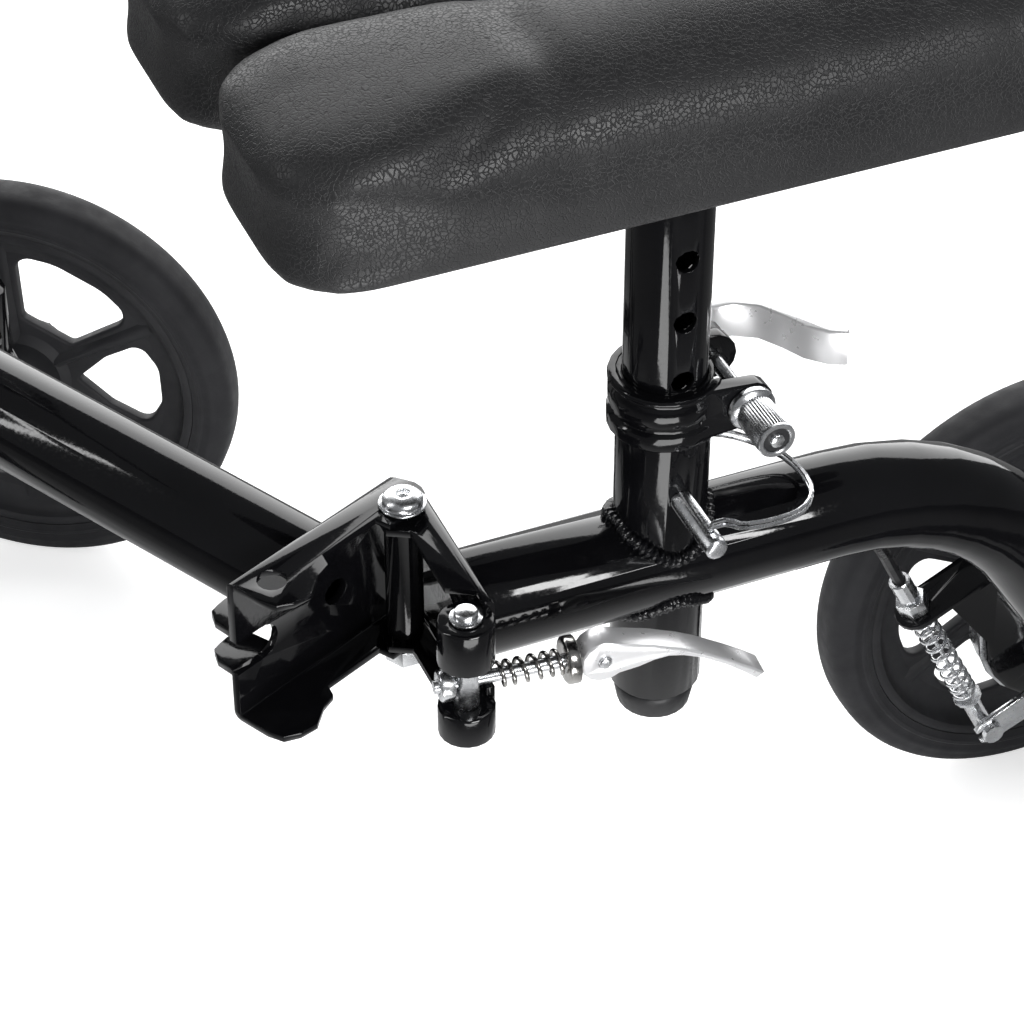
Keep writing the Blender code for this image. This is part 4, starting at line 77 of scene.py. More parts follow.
class Shader:
    """Small helper to write node materials."""

    def __init__(self, name):
        self.mat = bpy.data.materials.new(name)
        self.mat.use_nodes = True
        self.tree = self.mat.node_tree
        self.bsdf = self.tree.nodes["Principled BSDF"]
        self.coord = self.node("ShaderNodeTexCoord").outputs["Object"]

    def node(self, kind, **values):
        made = self.tree.nodes.new(kind)
        for key, value in values.items():
            setattr(made, key, value)
        return made

    def link(self, a, b):
        self.tree.links.new(a, b)

    def set(self, **values):
        names = {"metal": "Metallic", "ior": "IOR", "sheen": "Sheen Weight",
                 "specular": "Specular IOR Level"}
        for key, value in values.items():
            self.bsdf.inputs[names[key]].default_value = value
        return self

    def noise(self, scale, detail):
        """Clouds in the object's own space: a higher scale makes them smaller."""
        tex = self.node("ShaderNodeTexNoise")
        tex.inputs["Scale"].default_value = scale
        tex.inputs["Detail"].default_value = detail
        self.link(self.coord, tex.inputs["Vector"])
        return tex.outputs["Fac"]

    def ramp(self, fac, low, high, a, b):
        """Map a value to two colours or to two numbers."""
        ramp = self.node("ShaderNodeValToRGB")
        ramp.color_ramp.elements[0].position = low
        ramp.color_ramp.elements[1].position = high
        for element, value in zip(ramp.color_ramp.elements, (a, b)):
            value = (value,) * 3 if isinstance(value, float) else value
            element.color = (*value, 1.0)
        self.link(fac, ramp.inputs["Fac"])
        return ramp.outputs["Color"]

    def to(self, output, socket):
        self.link(output, self.bsdf.inputs[socket])
        return self

    def bump(self, *layers):
        """Layers of (height, strength, distance), added one on another."""
        normal = None
        for height, strength, distance in layers:
            bump = self.node("ShaderNodeBump")
            bump.inputs["Strength"].default_value = strength
            bump.inputs["Distance"].default_value = distance
            self.link(height, bump.inputs["Height"])
            if normal:
                self.link(normal, bump.inputs["Normal"])
            normal = bump.outputs["Normal"]
        self.link(normal, self.bsdf.inputs["Normal"])
        return self


def black_paint():
    """Glossy black powder coat: slight orange peel, faint dust."""
    s = Shader("black_powder_coat").set(ior=1.40)
    broad = s.noise(25, 4)
    s.to(s.ramp(broad, 0.3, 0.8, (0.0025, 0.0025, 0.003), (0.005, 0.005, 0.006)), "Base Color")
    s.to(s.ramp(s.noise(900, 2), 0.45, 0.75, 0.07, 0.16), "Roughness")
    return s.bump((s.noise(420, 1), 0.04, 0.0004), (broad, 0.05, 0.002)).mat


def zinc():
    """Bright zinc plate with a soft grain."""
    s = Shader("bright_zinc").set(metal=1.0)
    s.to(s.ramp(s.noise(110, 4), 0.35, 0.7, (0.70, 0.71, 0.73), (0.84, 0.85, 0.86)),
         "Base Color")
    s.to(s.ramp(s.noise(500, 2), 0.3, 0.7, 0.20, 0.30), "Roughness")
    return s.bump((s.noise(900, 2), 0.05, 0.0003)).mat


def cast_aluminium():
    """Tumbled and polished casting."""
    s = Shader("cast_aluminium").set(metal=0.62)
    cloud = s.noise(45, 4)
    s.to(s.ramp(cloud, 0.35, 0.7, (0.80, 0.80, 0.81), (0.88, 0.88, 0.89)), "Base Color")
    s.to(s.ramp(s.noise(260, 3), 0.3, 0.7, 0.27, 0.31), "Roughness")
    return s.bump((s.noise(700, 3), 0.04, 0.0002)).mat


def nickel():
    """Dark nickel plate, unevenly bright."""
    s = Shader("dark_nickel").set(metal=1.0)
    cloud = s.noise(200, 3)
    s.to(s.ramp(cloud, 0.3, 0.75, (0.30, 0.29, 0.28), (0.52, 0.51, 0.49)), "Base Color")
    s.to(s.ramp(s.noise(500, 2), 0.3, 0.7, 0.12, 0.26), "Roughness")
    return s.bump((s.noise(800, 2), 0.06, 0.0003)).mat


def black_plastic():
    """Moulded black nylon with a fine texture."""
    s = Shader("black_moulding").set(specular=0.45)
    s.to(s.ramp(s.noise(60, 4), 0.3, 0.8, (0.010, 0.010, 0.011), (0.022, 0.022, 0.024)),
         "Base Color")
    s.to(s.ramp(s.noise(300, 2), 0.3, 0.7, 0.34, 0.52), "Roughness")
    return s.bump((s.noise(1500, 2), 0.15, 0.0003)).mat


def cable_plastic():
    """Smooth black jacket of the brake cable."""
    s = Shader("cable_jacket").set(specular=0.5)
    s.to(s.ramp(s.noise(80, 3), 0.3, 0.8, (0.008, 0.008, 0.009), (0.02, 0.02, 0.022)),
         "Base Color")
    s.to(s.ramp(s.noise(250, 2), 0.3, 0.7, 0.24, 0.38), "Roughness")
    return s.bump((s.noise(600, 2), 0.08, 0.0003)).mat


def wheel_plastic():
    """Charcoal moulded rim, matt."""
    s = Shader("charcoal_rim").set(specular=0.30)
    s.to(s.ramp(s.noise(45, 4), 0.3, 0.75, (0.017, 0.017, 0.019), (0.027, 0.027, 0.030)),
         "Base Color")
    s.to(s.ramp(s.noise(200, 2), 0.3, 0.7, 0.46, 0.6), "Roughness")
    return s.bump((s.noise(1100, 2), 0.12, 0.0003)).mat


def tyre_rubber():
    """Charcoal solid tyre, matt and faintly clouded."""
    s = Shader("charcoal_tyre").set(specular=0.22, sheen=0.05)
    s.to(s.ramp(s.noise(35, 5), 0.3, 0.75, (0.017, 0.017, 0.019), (0.029, 0.029, 0.032)),
         "Base Color")
    s.to(s.ramp(s.noise(160, 3), 0.3, 0.7, 0.55, 0.75), "Roughness")
    return s.bump((s.noise(900, 3), 0.16, 0.0004)).mat


def grip_rubber():
    """Soft black rubber, close to matt."""
    s = Shader("grip_rubber").set(specular=0.3, sheen=0.1)
    s.to(s.ramp(s.noise(50, 4), 0.3, 0.75, (0.010, 0.010, 0.010), (0.024, 0.024, 0.024)),
         "Base Color")
    s.to(s.ramp(s.noise(200, 3), 0.3, 0.7, 0.6, 0.8), "Roughness")
    return s.bump((s.noise(1200, 3), 0.25, 0.0005)).mat


def vinyl():
    """Black upholstery vinyl with a leather grain."""
    s = Shader("black_vinyl").set(specular=0.45)
    cells = s.node("ShaderNodeTexVoronoi", feature="DISTANCE_TO_EDGE")
    cells.inputs["Scale"].default_value = 700
    warp = s.node("ShaderNodeMix", data_type="VECTOR")
    warp.inputs["Factor"].default_value = 0.004
    tex = s.node("ShaderNodeTexNoise")
    tex.inputs["Scale"].default_value = 160
    s.link(s.coord, tex.inputs["Vector"])
    s.link(s.coord, warp.inputs["A"])
    s.link(tex.outputs["Color"], warp.inputs["B"])
    s.link(warp.outputs["Result"], cells.inputs["Vector"])
    grain = s.ramp(cells.outputs["Distance"], 0.0, 0.12, 0.0, 1.0)
    s.to(s.ramp(s.noise(20, 4), 0.3, 0.75, (0.010, 0.010, 0.011), (0.022, 0.022, 0.023)),
         "Base Color")
    s.to(s.ramp(cells.outputs["Distance"], 0.0, 0.2, 0.62, 0.42), "Roughness")
    return s.bump((grain, 0.35, 0.0004), (s.noise(30, 3), 0.2, 0.002)).mat


def weld_bead():
    """The frame's paint where it lies thick and rippled on a weld."""
    s = Shader("painted_weld").set(ior=1.40)
    s.to(s.ramp(s.noise(200, 3), 0.3, 0.8, (0.003, 0.003, 0.004), (0.006, 0.006, 0.007)),
         "Base Color")
    s.to(s.ramp(s.noise(400, 2), 0.3, 0.7, 0.10, 0.22), "Roughness")
    return s.bump((s.noise(500, 3), 0.5, 0.001)).mat


MATS = {"black_paint": black_paint(), "zinc": zinc(), "aluminium": cast_aluminium(),
        "nickel": nickel(), "black_plastic": black_plastic(), "wheel_grey": wheel_plastic(),
        "tyre": tyre_rubber(), "vinyl": vinyl(), "rubber": grip_rubber()}
CABLE = cable_plastic()
WELD = weld_bead()


# Mesh helpers

def new_object(name, bm, mat, body=None, smooth=math.radians(35)):
    """An object from a bmesh, which rides on a body and keeps to a material slot."""
    bmesh.ops.recalc_face_normals(bm, faces=bm.faces)
    mesh = bpy.data.meshes.new(name)
    bm.to_mesh(mesh)
    bm.free()
    mesh.shade_smooth()
    mesh.set_sharp_from_angle(angle=smooth)
    obj = bpy.data.objects.new(name, mesh)
    bpy.context.scene.collection.objects.link(obj)
    obj.data.materials.append(mat)
    if body:
        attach(obj, body)
    return obj


def ease(obj, width):
    """Rounded edges by modifier; the mesh itself stays as it is."""
    weld = obj.modifiers.new("weld", "WELD")
    weld.merge_threshold = 0.00001
    edge = obj.modifiers.new("edge", "BEVEL")
    edge.width = width
    edge.segments = 2
    edge.limit_method = "ANGLE"
    edge.angle_limit = math.radians(38)
    edge.harden_normals = True
    edge.miter_outer = "MITER_ARC"


def lathe_into(bm, profile, sides, matrix):
    """Turn a closed (radius, height) profile about local Z into a bmesh."""
    rings = []
    for radius, height in profile:
        if radius < 1e-7:
            rings.append([bm.verts.new(matrix @ Vector((0, 0, height)))])
            continue
        ring = []
        for k in range(sides):
            turn = 2 * math.pi * k / sides
            point = Vector((radius * math.cos(turn), radius * math.sin(turn), height))
            ring.append(bm.verts.new(matrix @ point))
        rings.append(ring)
    for i in range(len(rings)):
        low, high = rings[i], rings[(i + 1) % len(rings)]
        if len(low) == 1 and len(high) == 1:
            continue
        for k in range(sides):
            n = (k + 1) % sides
            if len(low) == 1:
                bm.faces.new((low[0], high[k], high[n]))
            elif len(high) == 1:
                bm.faces.new((low[k], low[n], high[0]))
            else:
                bm.faces.new((low[k], low[n], high[n], high[k]))


def rounded(points, radii):
    """A flat closed outline whose corners take the given radii, or less where it is tight."""
    steps = 6
    result = []
    count = len(points)
    for i, (corner, radius) in enumerate(zip(points, radii)):
        corner = Vector(corner)
        before = Vector(points[i - 1]) - corner
        after = Vector(points[(i + 1) % count]) - corner
        half = before.angle(after) / 2
        reach = min(radius / math.tan(half), 0.49 * before.length, 0.49 * after.length)
        true_r = reach * math.tan(half)
        bisector = (before.normalized() + after.normalized()).normalized()
        centre = corner + bisector * (true_r / math.sin(half))
        first = corner + before.normalized() * reach - centre
        last = corner + after.normalized() * reach - centre
        sweep = first.angle_signed(last)
        for k in range(steps + 1):
            result.append(centre + Matrix.Rotation(-sweep * k / steps, 2) @ first)
    return result


# Carried-over nodes

slots = {s["node"]: s["material_slot"] for s in frame["record"]["subparts"]}
# the radius of each material's edges
EDGE = {"black_paint": 0.5, "zinc": 0.35, "aluminium": 0.35, "nickel": 0.4,
        "black_plastic": 0.4, "wheel_grey": 0.6, "tyre": 0.5, "vinyl": 0.5, "rubber": 0.6}

for name, obj in nodes.items():
    slot = slots[name]
    mat = CABLE if name.startswith("brake_cable") else MATS[slot]
    obj.data.materials.clear()
    obj.data.materials.append(mat)
    obj.data.shade_smooth()
    if "cable" in name or "spring" in name or name == "lock_pin_bail":
        obj.data.set_sharp_from_angle(angle=math.radians(60))
        continue
    ease(obj, EDGE[slot] * MM)


# Wheels

def wheel_matrix(joint):
    """Places a wheel that is drawn about the origin, with its axle along Z."""
    data = joints[joint]
    axis = Vector(data["axis"])
    turn = math.atan2(-axis.x, axis.y)
    return (Matrix.Translation(data["pos_m"]) @ Matrix.Rotation(turn, 4, "Z")
            @ Matrix.Rotation(math.radians(-90), 4, "X"))


WEB_R = 81.0
WEB_FLAT = 1.6          # half the web's thickness between its eased edges
WEB_EASE = 1.4
WINDOW_PAIRS = 3
WINDOW_OUTER_R = 67.0
NARROW_TIP_R = 26.2
WIDE_INNER_R = 32.5
PHASE = math.radians(-1.8)
# half the angle that a narrow window takes up, and half of a wide one's
NARROW, WIDE = math.radians(20.8), math.radians(26.5)
# along a spoke's rib: distance from the axle, rise and half width
RIB_ROWS = ((19.0, 3.4, 3.4), (26.0, 2.6, 3.3), (45.0, 2.0, 3.6), (64.0, 1.6, 4.2),
            (73.0, 1.5, 5.0))


def polar(radius, angle):
    return (radius * math.cos(angle), radius * math.sin(angle))


def window_plans(grow):
    """The six windows: three narrow ones with a point at the hub and three wide ones."""
    o = WINDOW_OUTER_R + grow
    edge = grow / 50.0      # the same growth as an angle, half way out
    n, w = NARROW + edge, WIDE + edge
    side = [polar(0.63 * o, 0.89 * n), polar(0.935 * o, n), polar(o, 0.38 * n)]
    mirrored = [(x, -y) for x, y in reversed(side)]
    narrow = rounded([(NARROW_TIP_R - grow, 0)] + side + mirrored,
                     [3.5, 14, 7.5, 14, 14, 7.5, 14])
    side = [polar(WIDE_INNER_R - grow, 0.92 * w), polar(o, w), polar(o, 0.38 * w)]
    mirrored = [(x, -y) for x, y in reversed(side)]
    wide = rounded(side + mirrored, [5, 9, 30, 30, 9, 5])
    plans = []
    for k in range(WINDOW_PAIRS):
        for plan, after in ((narrow, 0.0), (wide, 0.5)):
            turn = Matrix.Rotation(PHASE + 2 * math.pi * (k + after) / WINDOW_PAIRS, 2)
            plans.append([turn @ p for p in plan])
    return plans


def build_wheel(prefix, joint, body):
    """One wheel's two skins: the solid tyre, and the rim with its web, hub and ribs."""
    place = wheel_matrix(joint)
    bm = bmesh.new()
    side = [(84.0, 11.2), (86.2, 12.0), (87.0, 12.65), (88.4, 12.65), (89.2, 12.0), (91.2, 11.9),
            (91.9, 12.3), (93.4, 12.2), (94.0, 11.8), (96.0, 11.3), (98.4, 10.3), (100.0, 8.9),
            (100.9, 7.2), (101.4, 5.2), (101.6, 3.0)]
    profile = [(r, -h) for r, h in side] + [(r, h) for r, h in reversed(side)]
    lathe_into(bm, [(r * MM, h * MM) for r, h in profile], 128, place)
    tyre = new_object(prefix + "_tyre_skin", bm, MATS["tyre"], body)
    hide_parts(prefix + "_tyre")

    # web with rounded windows: a filled flat curve, thickened and eased
    curve = bpy.data.curves.new(prefix + "_web", "CURVE")
    curve.dimensions = "2D"
    curve.fill_mode = "BOTH"
    curve.extrude = WEB_FLAT * MM
    curve.bevel_depth = WEB_EASE * MM
    curve.bevel_resolution = 3
    loops = [[Vector(polar(WEB_R, 2 * math.pi * k / 96)) for k in range(96)]]
    loops += window_plans(WEB_EASE)
    for loop in loops:
        line = curve.splines.new("POLY")
        line.points.add(len(loop) - 1)
        for knot, point in zip(line.points, loop):
            knot.co = (point.x * MM, point.y * MM, 0, 1)
        line.use_cyclic_u = True
    temp = bpy.data.objects.new(prefix + "_web", curve)
    bpy.context.scene.collection.objects.link(temp)
    bpy.context.view_layer.update()
    web = bpy.data.meshes.new_from_object(
        temp.evaluated_get(bpy.context.evaluated_depsgraph_get()))
    bpy.data.objects.remove(temp)
    bm = bmesh.new()
    bm.from_mesh(web)
    bmesh.ops.transform(bm, matrix=place, verts=bm.verts)
    ring = [(67.6, 2.6), (70.4, 3.6), (74.0, 4.2), (77.2, 6.2), (78.8, 9.0), (79.6, 10.8),
            (80.8, 11.4), (82.4, 11.4), (83.7, 11.0)]
    profile = [(r, -h) for r, h in ring] + [(r, h) for r, h in reversed(ring)]
    lathe_into(bm, [(r * MM, h * MM) for r, h in profile], 96, place)
    hub = [(6.3, 17.6), (12.0, 17.6), (12.8, 16.6), (15.6, 16.6), (16.6, 17.7), (17.0, 17.0),
           (19.5, 6.0), (23.0, 3.2), (24.5, 2.8)]
    profile = [(r, -h) for r, h in hub] + [(r, h) for r, h in reversed(hub)]
    lathe_into(bm, [(r * MM, h * MM) for r, h in profile], 64, place)
    # a raised rib along each spoke, on both faces
    between = (NARROW + math.pi / WINDOW_PAIRS - WIDE) / 2
    for turn in [PHASE + 2 * math.pi * k / WINDOW_PAIRS + sign * between
                 for k in range(WINDOW_PAIRS) for sign in (-1, 1)]:
        local = Matrix.Rotation(turn, 4, "Z")
        for face in (-1, 1):
            rows = []
            for r, rise, wide in RIB_ROWS:
                section = ((-wide, 2.6), (-wide * 0.55, 3.0 + rise * 0.7), (0, 3.0 + rise),
                           (wide * 0.55, 3.0 + rise * 0.7), (wide, 2.6))
                rows.append([bm.verts.new(place @ (local @ (Vector((r, y, face * h)) * MM)))
                             for y, h in section])
            for low, high in zip(rows, rows[1:]):
                for j in range(4):
                    bm.faces.new((low[j], low[j + 1], high[j + 1], high[j]))
    rim = new_object(prefix + "_rim_skin", bm, MATS["wheel_grey"], body)
    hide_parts(prefix + "_rim")


for prefix in ("front_left", "front_right", "rear_left", "rear_right"):
    build_wheel(prefix, prefix + "_spin", prefix + "_wheel")


# Pads

PAD_SHRINK = Vector((0.985, 0.96, 0.94))     # room that the cover's swell takes up again
PAD_VOXEL = 5 * MM
PAD_GLUED = 4 * MM                # height of the band that is held on the plate
PAD_SWELL = 8 * MM
CLOTH_STEPS = 20
CHANNELS = (-0.22, 0.22)          # shares of the length, from the middle
CHANNEL_DEPTH = 2.4 * MM
CHANNEL_REACH = 6 * MM


def build_pad(name, body, quick):
    """Upholstered pad: the plain cushion, swollen by cloth pressure, with two sewn channels."""
    low, high = (Vector(corner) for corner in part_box(name))
    obj = bpy.data.objects.new(name + "_cover", nodes[name].data.copy())
    bpy.context.scene.collection.objects.link(obj)
    centre = (low + high) / 2
    base = min(v.co.z for v in obj.data.vertices)
    for v in obj.data.vertices:
        v.co.x = centre.x + (v.co.x - centre.x) * PAD_SHRINK.x
        v.co.y = centre.y + (v.co.y - centre.y) * PAD_SHRINK.y
        v.co.z = base + (v.co.z - base) * PAD_SHRINK.z
    remesh = obj.modifiers.new("remesh", "REMESH")
    remesh.mode = "VOXEL"
    remesh.voxel_size = PAD_VOXEL
    bpy.context.view_layer.update()
    graph = bpy.context.evaluated_depsgraph_get()
    obj.data = bpy.data.meshes.new_from_object(obj.evaluated_get(graph))
    obj.modifiers.clear()
    rest = [v.co.copy() for v in obj.data.vertices]
    if not quick:
        pin = obj.vertex_groups.new(name="base")
        pin.add([v.index for v in obj.data.vertices if v.co.z < base + PAD_GLUED], 1.0,
                "REPLACE")
        cloth = obj.modifiers.new("cloth", "CLOTH")
        cloth.settings.use_pressure = True
        cloth.settings.uniform_pressure_force = 4.0
        cloth.settings.effector_weights.gravity = 0.0
        cloth.settings.vertex_group_mass = "base"
        cloth.point_cache.frame_start = 1
        cloth.point_cache.frame_end = CLOTH_STEPS
        for number in range(1, CLOTH_STEPS + 1):
            bpy.context.scene.frame_set(number)
        graph = bpy.context.evaluated_depsgraph_get()
        obj.data = bpy.data.meshes.new_from_object(obj.evaluated_get(graph))
        obj.modifiers.clear()
        bpy.context.scene.frame_set(1)
        for v, start in zip(obj.data.vertices, rest):
            moved = v.co - start
            if moved.length > PAD_SWELL:
                v.co = start + moved.normalized() * PAD_SWELL
            v.co.z = max(v.co.z, base)
    length, width = high.x - low.x, high.y - low.y
    for v in obj.data.vertices:
        across = min(1.0, abs(v.co.y - centre.y) / (width / 2))
        for seam in CHANNELS:
            near = (v.co.x - centre.x - seam * length) / CHANNEL_REACH
            if v.co.z > base + 20 * MM:
                v.co.z -= CHANNEL_DEPTH * math.exp(-near * near) * (1 - 0.4 * across)
    smooth = obj.modifiers.new("smooth", "SUBSURF")
    smooth.levels = 1
    smooth.render_levels = 1
    obj.data.shade_smooth()
    obj.data.materials.clear()
    obj.data.materials.append(MATS["vinyl"])
    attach(obj, body)
    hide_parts(name)


for name in ("pad_left", "pad_right"):
    build_pad(name, "seat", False)


# Welds and fittings

def sweep_into(bm, points, radii, closed=False):
    """Carry a ring of the given radii along a path."""
    sides = 10
    count = len(points)
    rings = []
    side = None
    for i, point in enumerate(points):
        after = points[(i + 1) % count] if closed or i + 1 < count else point
        before = points[i - 1] if closed or i > 0 else point
        along = (after - before).normalized()
        side = along.orthogonal() if side is None else side - along * side.dot(along)
        side.normalize()
        other = along.cross(side)
        rings.append([bm.verts.new(point + (side * math.cos(a) + other * math.sin(a)) * radii[i])
                      for a in [2 * math.pi * k / sides for k in range(sides)]])
    for low, high in zip(rings, rings[1:]):
        for k in range(sides):
            n = (k + 1) % sides
            bm.faces.new((low[k], low[n], high[n], high[k]))
    if closed:
        low, high = rings[-1], rings[0]
        shift = min(range(sides), key=lambda j: (high[j].co - low[0].co).length)
        for k in range(sides):
            n = (k + 1) % sides
            bm.faces.new((low[k], low[n], high[(n + shift) % sides], high[(k + shift) % sides]))
    else:
        bm.faces.new(rings[0])
        bm.faces.new(rings[-1])


BEAD_PITCH = 2.3         # length of one scale of a bead


def weld_line(name, points, radius, body):
    """A hand-laid bead round a joint: overlapping scales of slightly uneven size."""
    bm = bmesh.new()
    radii = []
    run = 0.0
    for i, point in enumerate(points):
        if i:
            run += (point - points[i - 1]).length / MM
        scale = (run / BEAD_PITCH) % 1.0
        radii.append(radius * MM * (0.76 + 0.42 * math.sin(math.pi * scale)
                                    + 0.09 * math.sin(run * 0.61 + 1.3)))
    sweep_into(bm, points, radii, closed=True)
    new_object(name, bm, WELD, body, math.radians(70))


TUBE_Z = 311.7
TUBE_WELD_R = 19.3       # the bead's middle line, just proud of the frame tube
SLEEVE_AT = (84.7, -22.5)
SLEEVE_WELD_R = 16.9
WELD_R = 2.3


def weld_sleeve():
    """The seat sleeve is welded to the frame tube above and below it."""
    for label, up in (("top", 1), ("low", -1)):
        path = []
        for k in range(160):
            a = 2 * math.pi * k / 160
            across = SLEEVE_WELD_R * math.sin(a)
            rise = up * math.sqrt(TUBE_WELD_R ** 2 - across ** 2)
            wander = 0.5 * math.sin(5 * a + up) + 0.4 * math.sin(9 * a)
            path.append(here(SLEEVE_AT[0] + (SLEEVE_WELD_R + wander) * math.cos(a),
                             SLEEVE_AT[1] + across, TUBE_Z + rise))
        weld_line("sleeve_weld_" + label, path, WELD_R, "rear_frame")


weld_sleeve()


def second_strand():
    """The bail's wire is folded double; its second strand lies on the first."""
    wire = nodes["lock_pin_bail"].modifiers.new("strand", "ARRAY")
    wire.count = 2
    wire.use_relative_offset = False
    wire.use_constant_offset = True
    wire.constant_offset_displace = (0, 0, 2.2 * MM)


second_strand()


def build_clamp_nut():
    """Knurled barrel nut with a deep round socket in its end; a black disc in the socket is painted shade."""
    low, high = (Vector(c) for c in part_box("clamp_nut"))
    x, z = (low.x + high.x) / 2, (low.z + high.z) / 2
    length = (high.y - low.y) / MM
    place = Matrix.Translation((x, high.y, z)) @ Matrix.Rotation(math.radians(90), 4, "X")
    bm = bmesh.new()
    plain = [(2.8, 0.0), (8.1, 0.0), (8.2, 0.3), (8.2, 2.0), (7.8, 2.6), (6.9, 3.2), (6.3, 3.6),
             (6.3, length - 1.6), (6.6, length - 1.3), (6.6, length - 0.4), (6.3, length),
             (5.1, length), (4.7, length - 0.4), (4.6, length - 6.0), (2.9, length - 6.4),
             (2.8, length - 6.4)]
    lathe_into(bm, [(r * MM, h * MM) for r, h in plain], 48, place)
    rows = []
    ridges = 40
    for h, grow in ((3.4, -0.2), (4.2, 0.0), (length - 2.4, 0.0), (length - 1.5, -0.2)):
        ring = []
        for k in range(ridges * 4):
            a = 2 * math.pi * k / (ridges * 4)
            r = 6.45 + grow + (0.0, 0.22, 0.30, 0.22)[k % 4]
            ring.append(bm.verts.new(place @ (Vector((r * math.cos(a), r * math.sin(a), h)) * MM)))
        rows.append(ring)
    for a, b in zip(rows, rows[1:]):
        for k in range(len(a)):
            n = (k + 1) % len(a)
            bm.faces.new((a[k], a[n], b[n], b[k]))
    nut = new_object("clamp_nut_skin", bm, MATS["zinc"], "rear_frame", math.radians(28))
    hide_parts("clamp_nut")
    # painted shade: a black disc set just inside the socket, so that the socket reads dark
    bm = bmesh.new()
    shade_disc = [(0, length - 0.7), (4.62, length - 0.7), (4.62, length - 2.4), (0, length - 2.4)]
    lathe_into(bm, [(r * MM, h * MM) for r, h in shade_disc], 32, place)
    new_object("clamp_nut_shade_disc", bm, MATS["black_plastic"], "rear_frame")


build_clamp_nut()


END_CROWDING = 0.032     # how much closer a spring's end turns lie, as a share of its length


def helix(start, end, radius, turns, wire):
    """Points of a compression spring whose end turns lie close."""
    axis = (end - start).normalized()
    side = axis.orthogonal().normalized()
    other = axis.cross(side)
    length = (end - start).length - 2 * wire
    steps = int(turns * 20)
    points = []
    for k in range(steps + 1):
        share = k / steps
        lean = share - END_CROWDING * math.sin(2 * math.pi * share)
        turn = 2 * math.pi * turns * share
        points.append(start + axis * (wire + length * lean)
                      + (side * math.cos(turn) + other * math.sin(turn)) * radius)
    return points


CABLE_ANGLE = math.radians(63.4)       # the cable's last run, below the horizontal
CABLE_STOP = (258.6, 88.0, 136.1)
LATCH_ANGLE = math.radians(-5.7)       # the latch rod, from the rear tube


def build_springs():
    """Both coil springs, each a wire swept along a helix and carried by its body."""
    line = Vector((math.cos(CABLE_ANGLE), 0, -math.sin(CABLE_ANGLE)))
    stop = here(*CABLE_STOP)
    top, low = stop + line * 1.8 * MM, stop + line * 63.8 * MM
    rod = Vector((math.cos(LATCH_ANGLE), math.sin(LATCH_ANGLE), 0))
    pin = Vector(joints["latch_swing"]["pos_m"])
    rear, front = pin + rod * 10.05 * MM, pin + rod * 33.1 * MM
    # name, ends, coil radius, turns, wire radius, material slot, body, joint and its travel
    springs = (
        ("brake_spring", top, low, 4.9, 10.5, 0.8, "zinc", "rear_frame", "brake_pull", 7.97),
        ("latch_spring", rear, front, 4.05, 5.5, 0.75, "nickel", "latch_bolt", "latch_squeeze",
         0.6))
    for name, start, end, radius, turns, wire, slot, body, joint, travel in springs:
        points = helix(start, end, radius * MM, turns, wire * MM)
        bm = bmesh.new()
        sweep_into(bm, points, [wire * MM] * len(points))
        coil = new_object(name + "_coil", bm, MATS[slot], body, math.radians(60))
        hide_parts(name)
        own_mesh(coil)


build_springs()


def cable_piece(name, node, low=None, high=None):
    """A length of a cable's own mesh, cut at one or two heights."""
    bm = bmesh.new()
    bm.from_mesh(nodes[node].data)
    for height, side in ((low, -1), (high, 1)):
        if height is None:
            continue
        geometry = bm.verts[:] + bm.edges[:] + bm.faces[:]
        bmesh.ops.bisect_plane(bm, geom=geometry, plane_co=(0, 0, height), plane_no=(0, 0, side),
                               clear_outer=True)
        edges = [e for e in bm.edges if e.is_boundary]
        if edges:
            bmesh.ops.holes_fill(bm, edges=edges, sides=0)
    piece = new_object(name, bm, CABLE, None, math.radians(60))
    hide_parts(node)
    return piece


def nearest_point(node, other):
    """The point of one node's mesh that lies nearest to another node's mesh."""
    there = [v.co for v in nodes[other].data.vertices]
    return min((v.co for v in nodes[node].data.vertices),
               key=lambda point: min((point - q).length_squared for q in there)).copy()


def bend_cables():
    """The cable past the frame hinge is copied whole, and the one along the column, the stem and the bar is cut
    into three lengths about the stem's fold.
    """
    past = cable_piece("brake_cable_hinge_bend", "brake_cable_hinge")
    nearest_point("brake_cable_hinge", "brake_cable_rear")
    nearest_point("brake_cable_hinge", "brake_cable_front")
    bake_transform(past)
    heights = [v.co.z for v in nodes["brake_cable_upper"].data.vertices]
    pivot = Vector(joints["stem_fold"]["pos_m"])
    margin = 40 * MM
    straight = 8 * MM      # margin at each end of a length
    first, second = pivot.z - margin, pivot.z + 2 * margin

    lengths = (
        ("low", None, first, "front_frame", "column", min(heights) + straight,
         first - straight),
        ("middle", first, second, "column", "stem", first + straight, second - straight),
        ("top", second, None, "stem", "handlebar", second + straight,
         max(heights) - 2 * margin))
    for label, low, high, before, after, start, end in lengths:
        piece = cable_piece("brake_cable_upper_" + label, "brake_cable_upper", low, high)
        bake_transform(piece)


bend_cables()


# Stage, light, camera

def area_light(name, at, target, width, height, power):
    """A rectangle of white light that faces its target."""
    data = bpy.data.lights.new(name, "AREA")
    data.energy = power
    data.shape = "RECTANGLE"
    data.size = width
    data.size_y = height
    obj = bpy.data.objects.new(name, data)
    bpy.context.scene.collection.objects.link(obj)
    obj.location = at
    obj.rotation_euler = (target - at).to_track_quat("-Z", "Y").to_euler()


FLOOR_HALF = 9.0
FLOOR_Z = -0.5 * MM
FLOOR_GLOW = 0.62        # lifts the floor to white in the picture and keeps its shadow
PALE_TO, DARK_FROM = 0.30, 0.62        # metres from the middle, for what the paint mirrors
SKY_FILL = 0.20


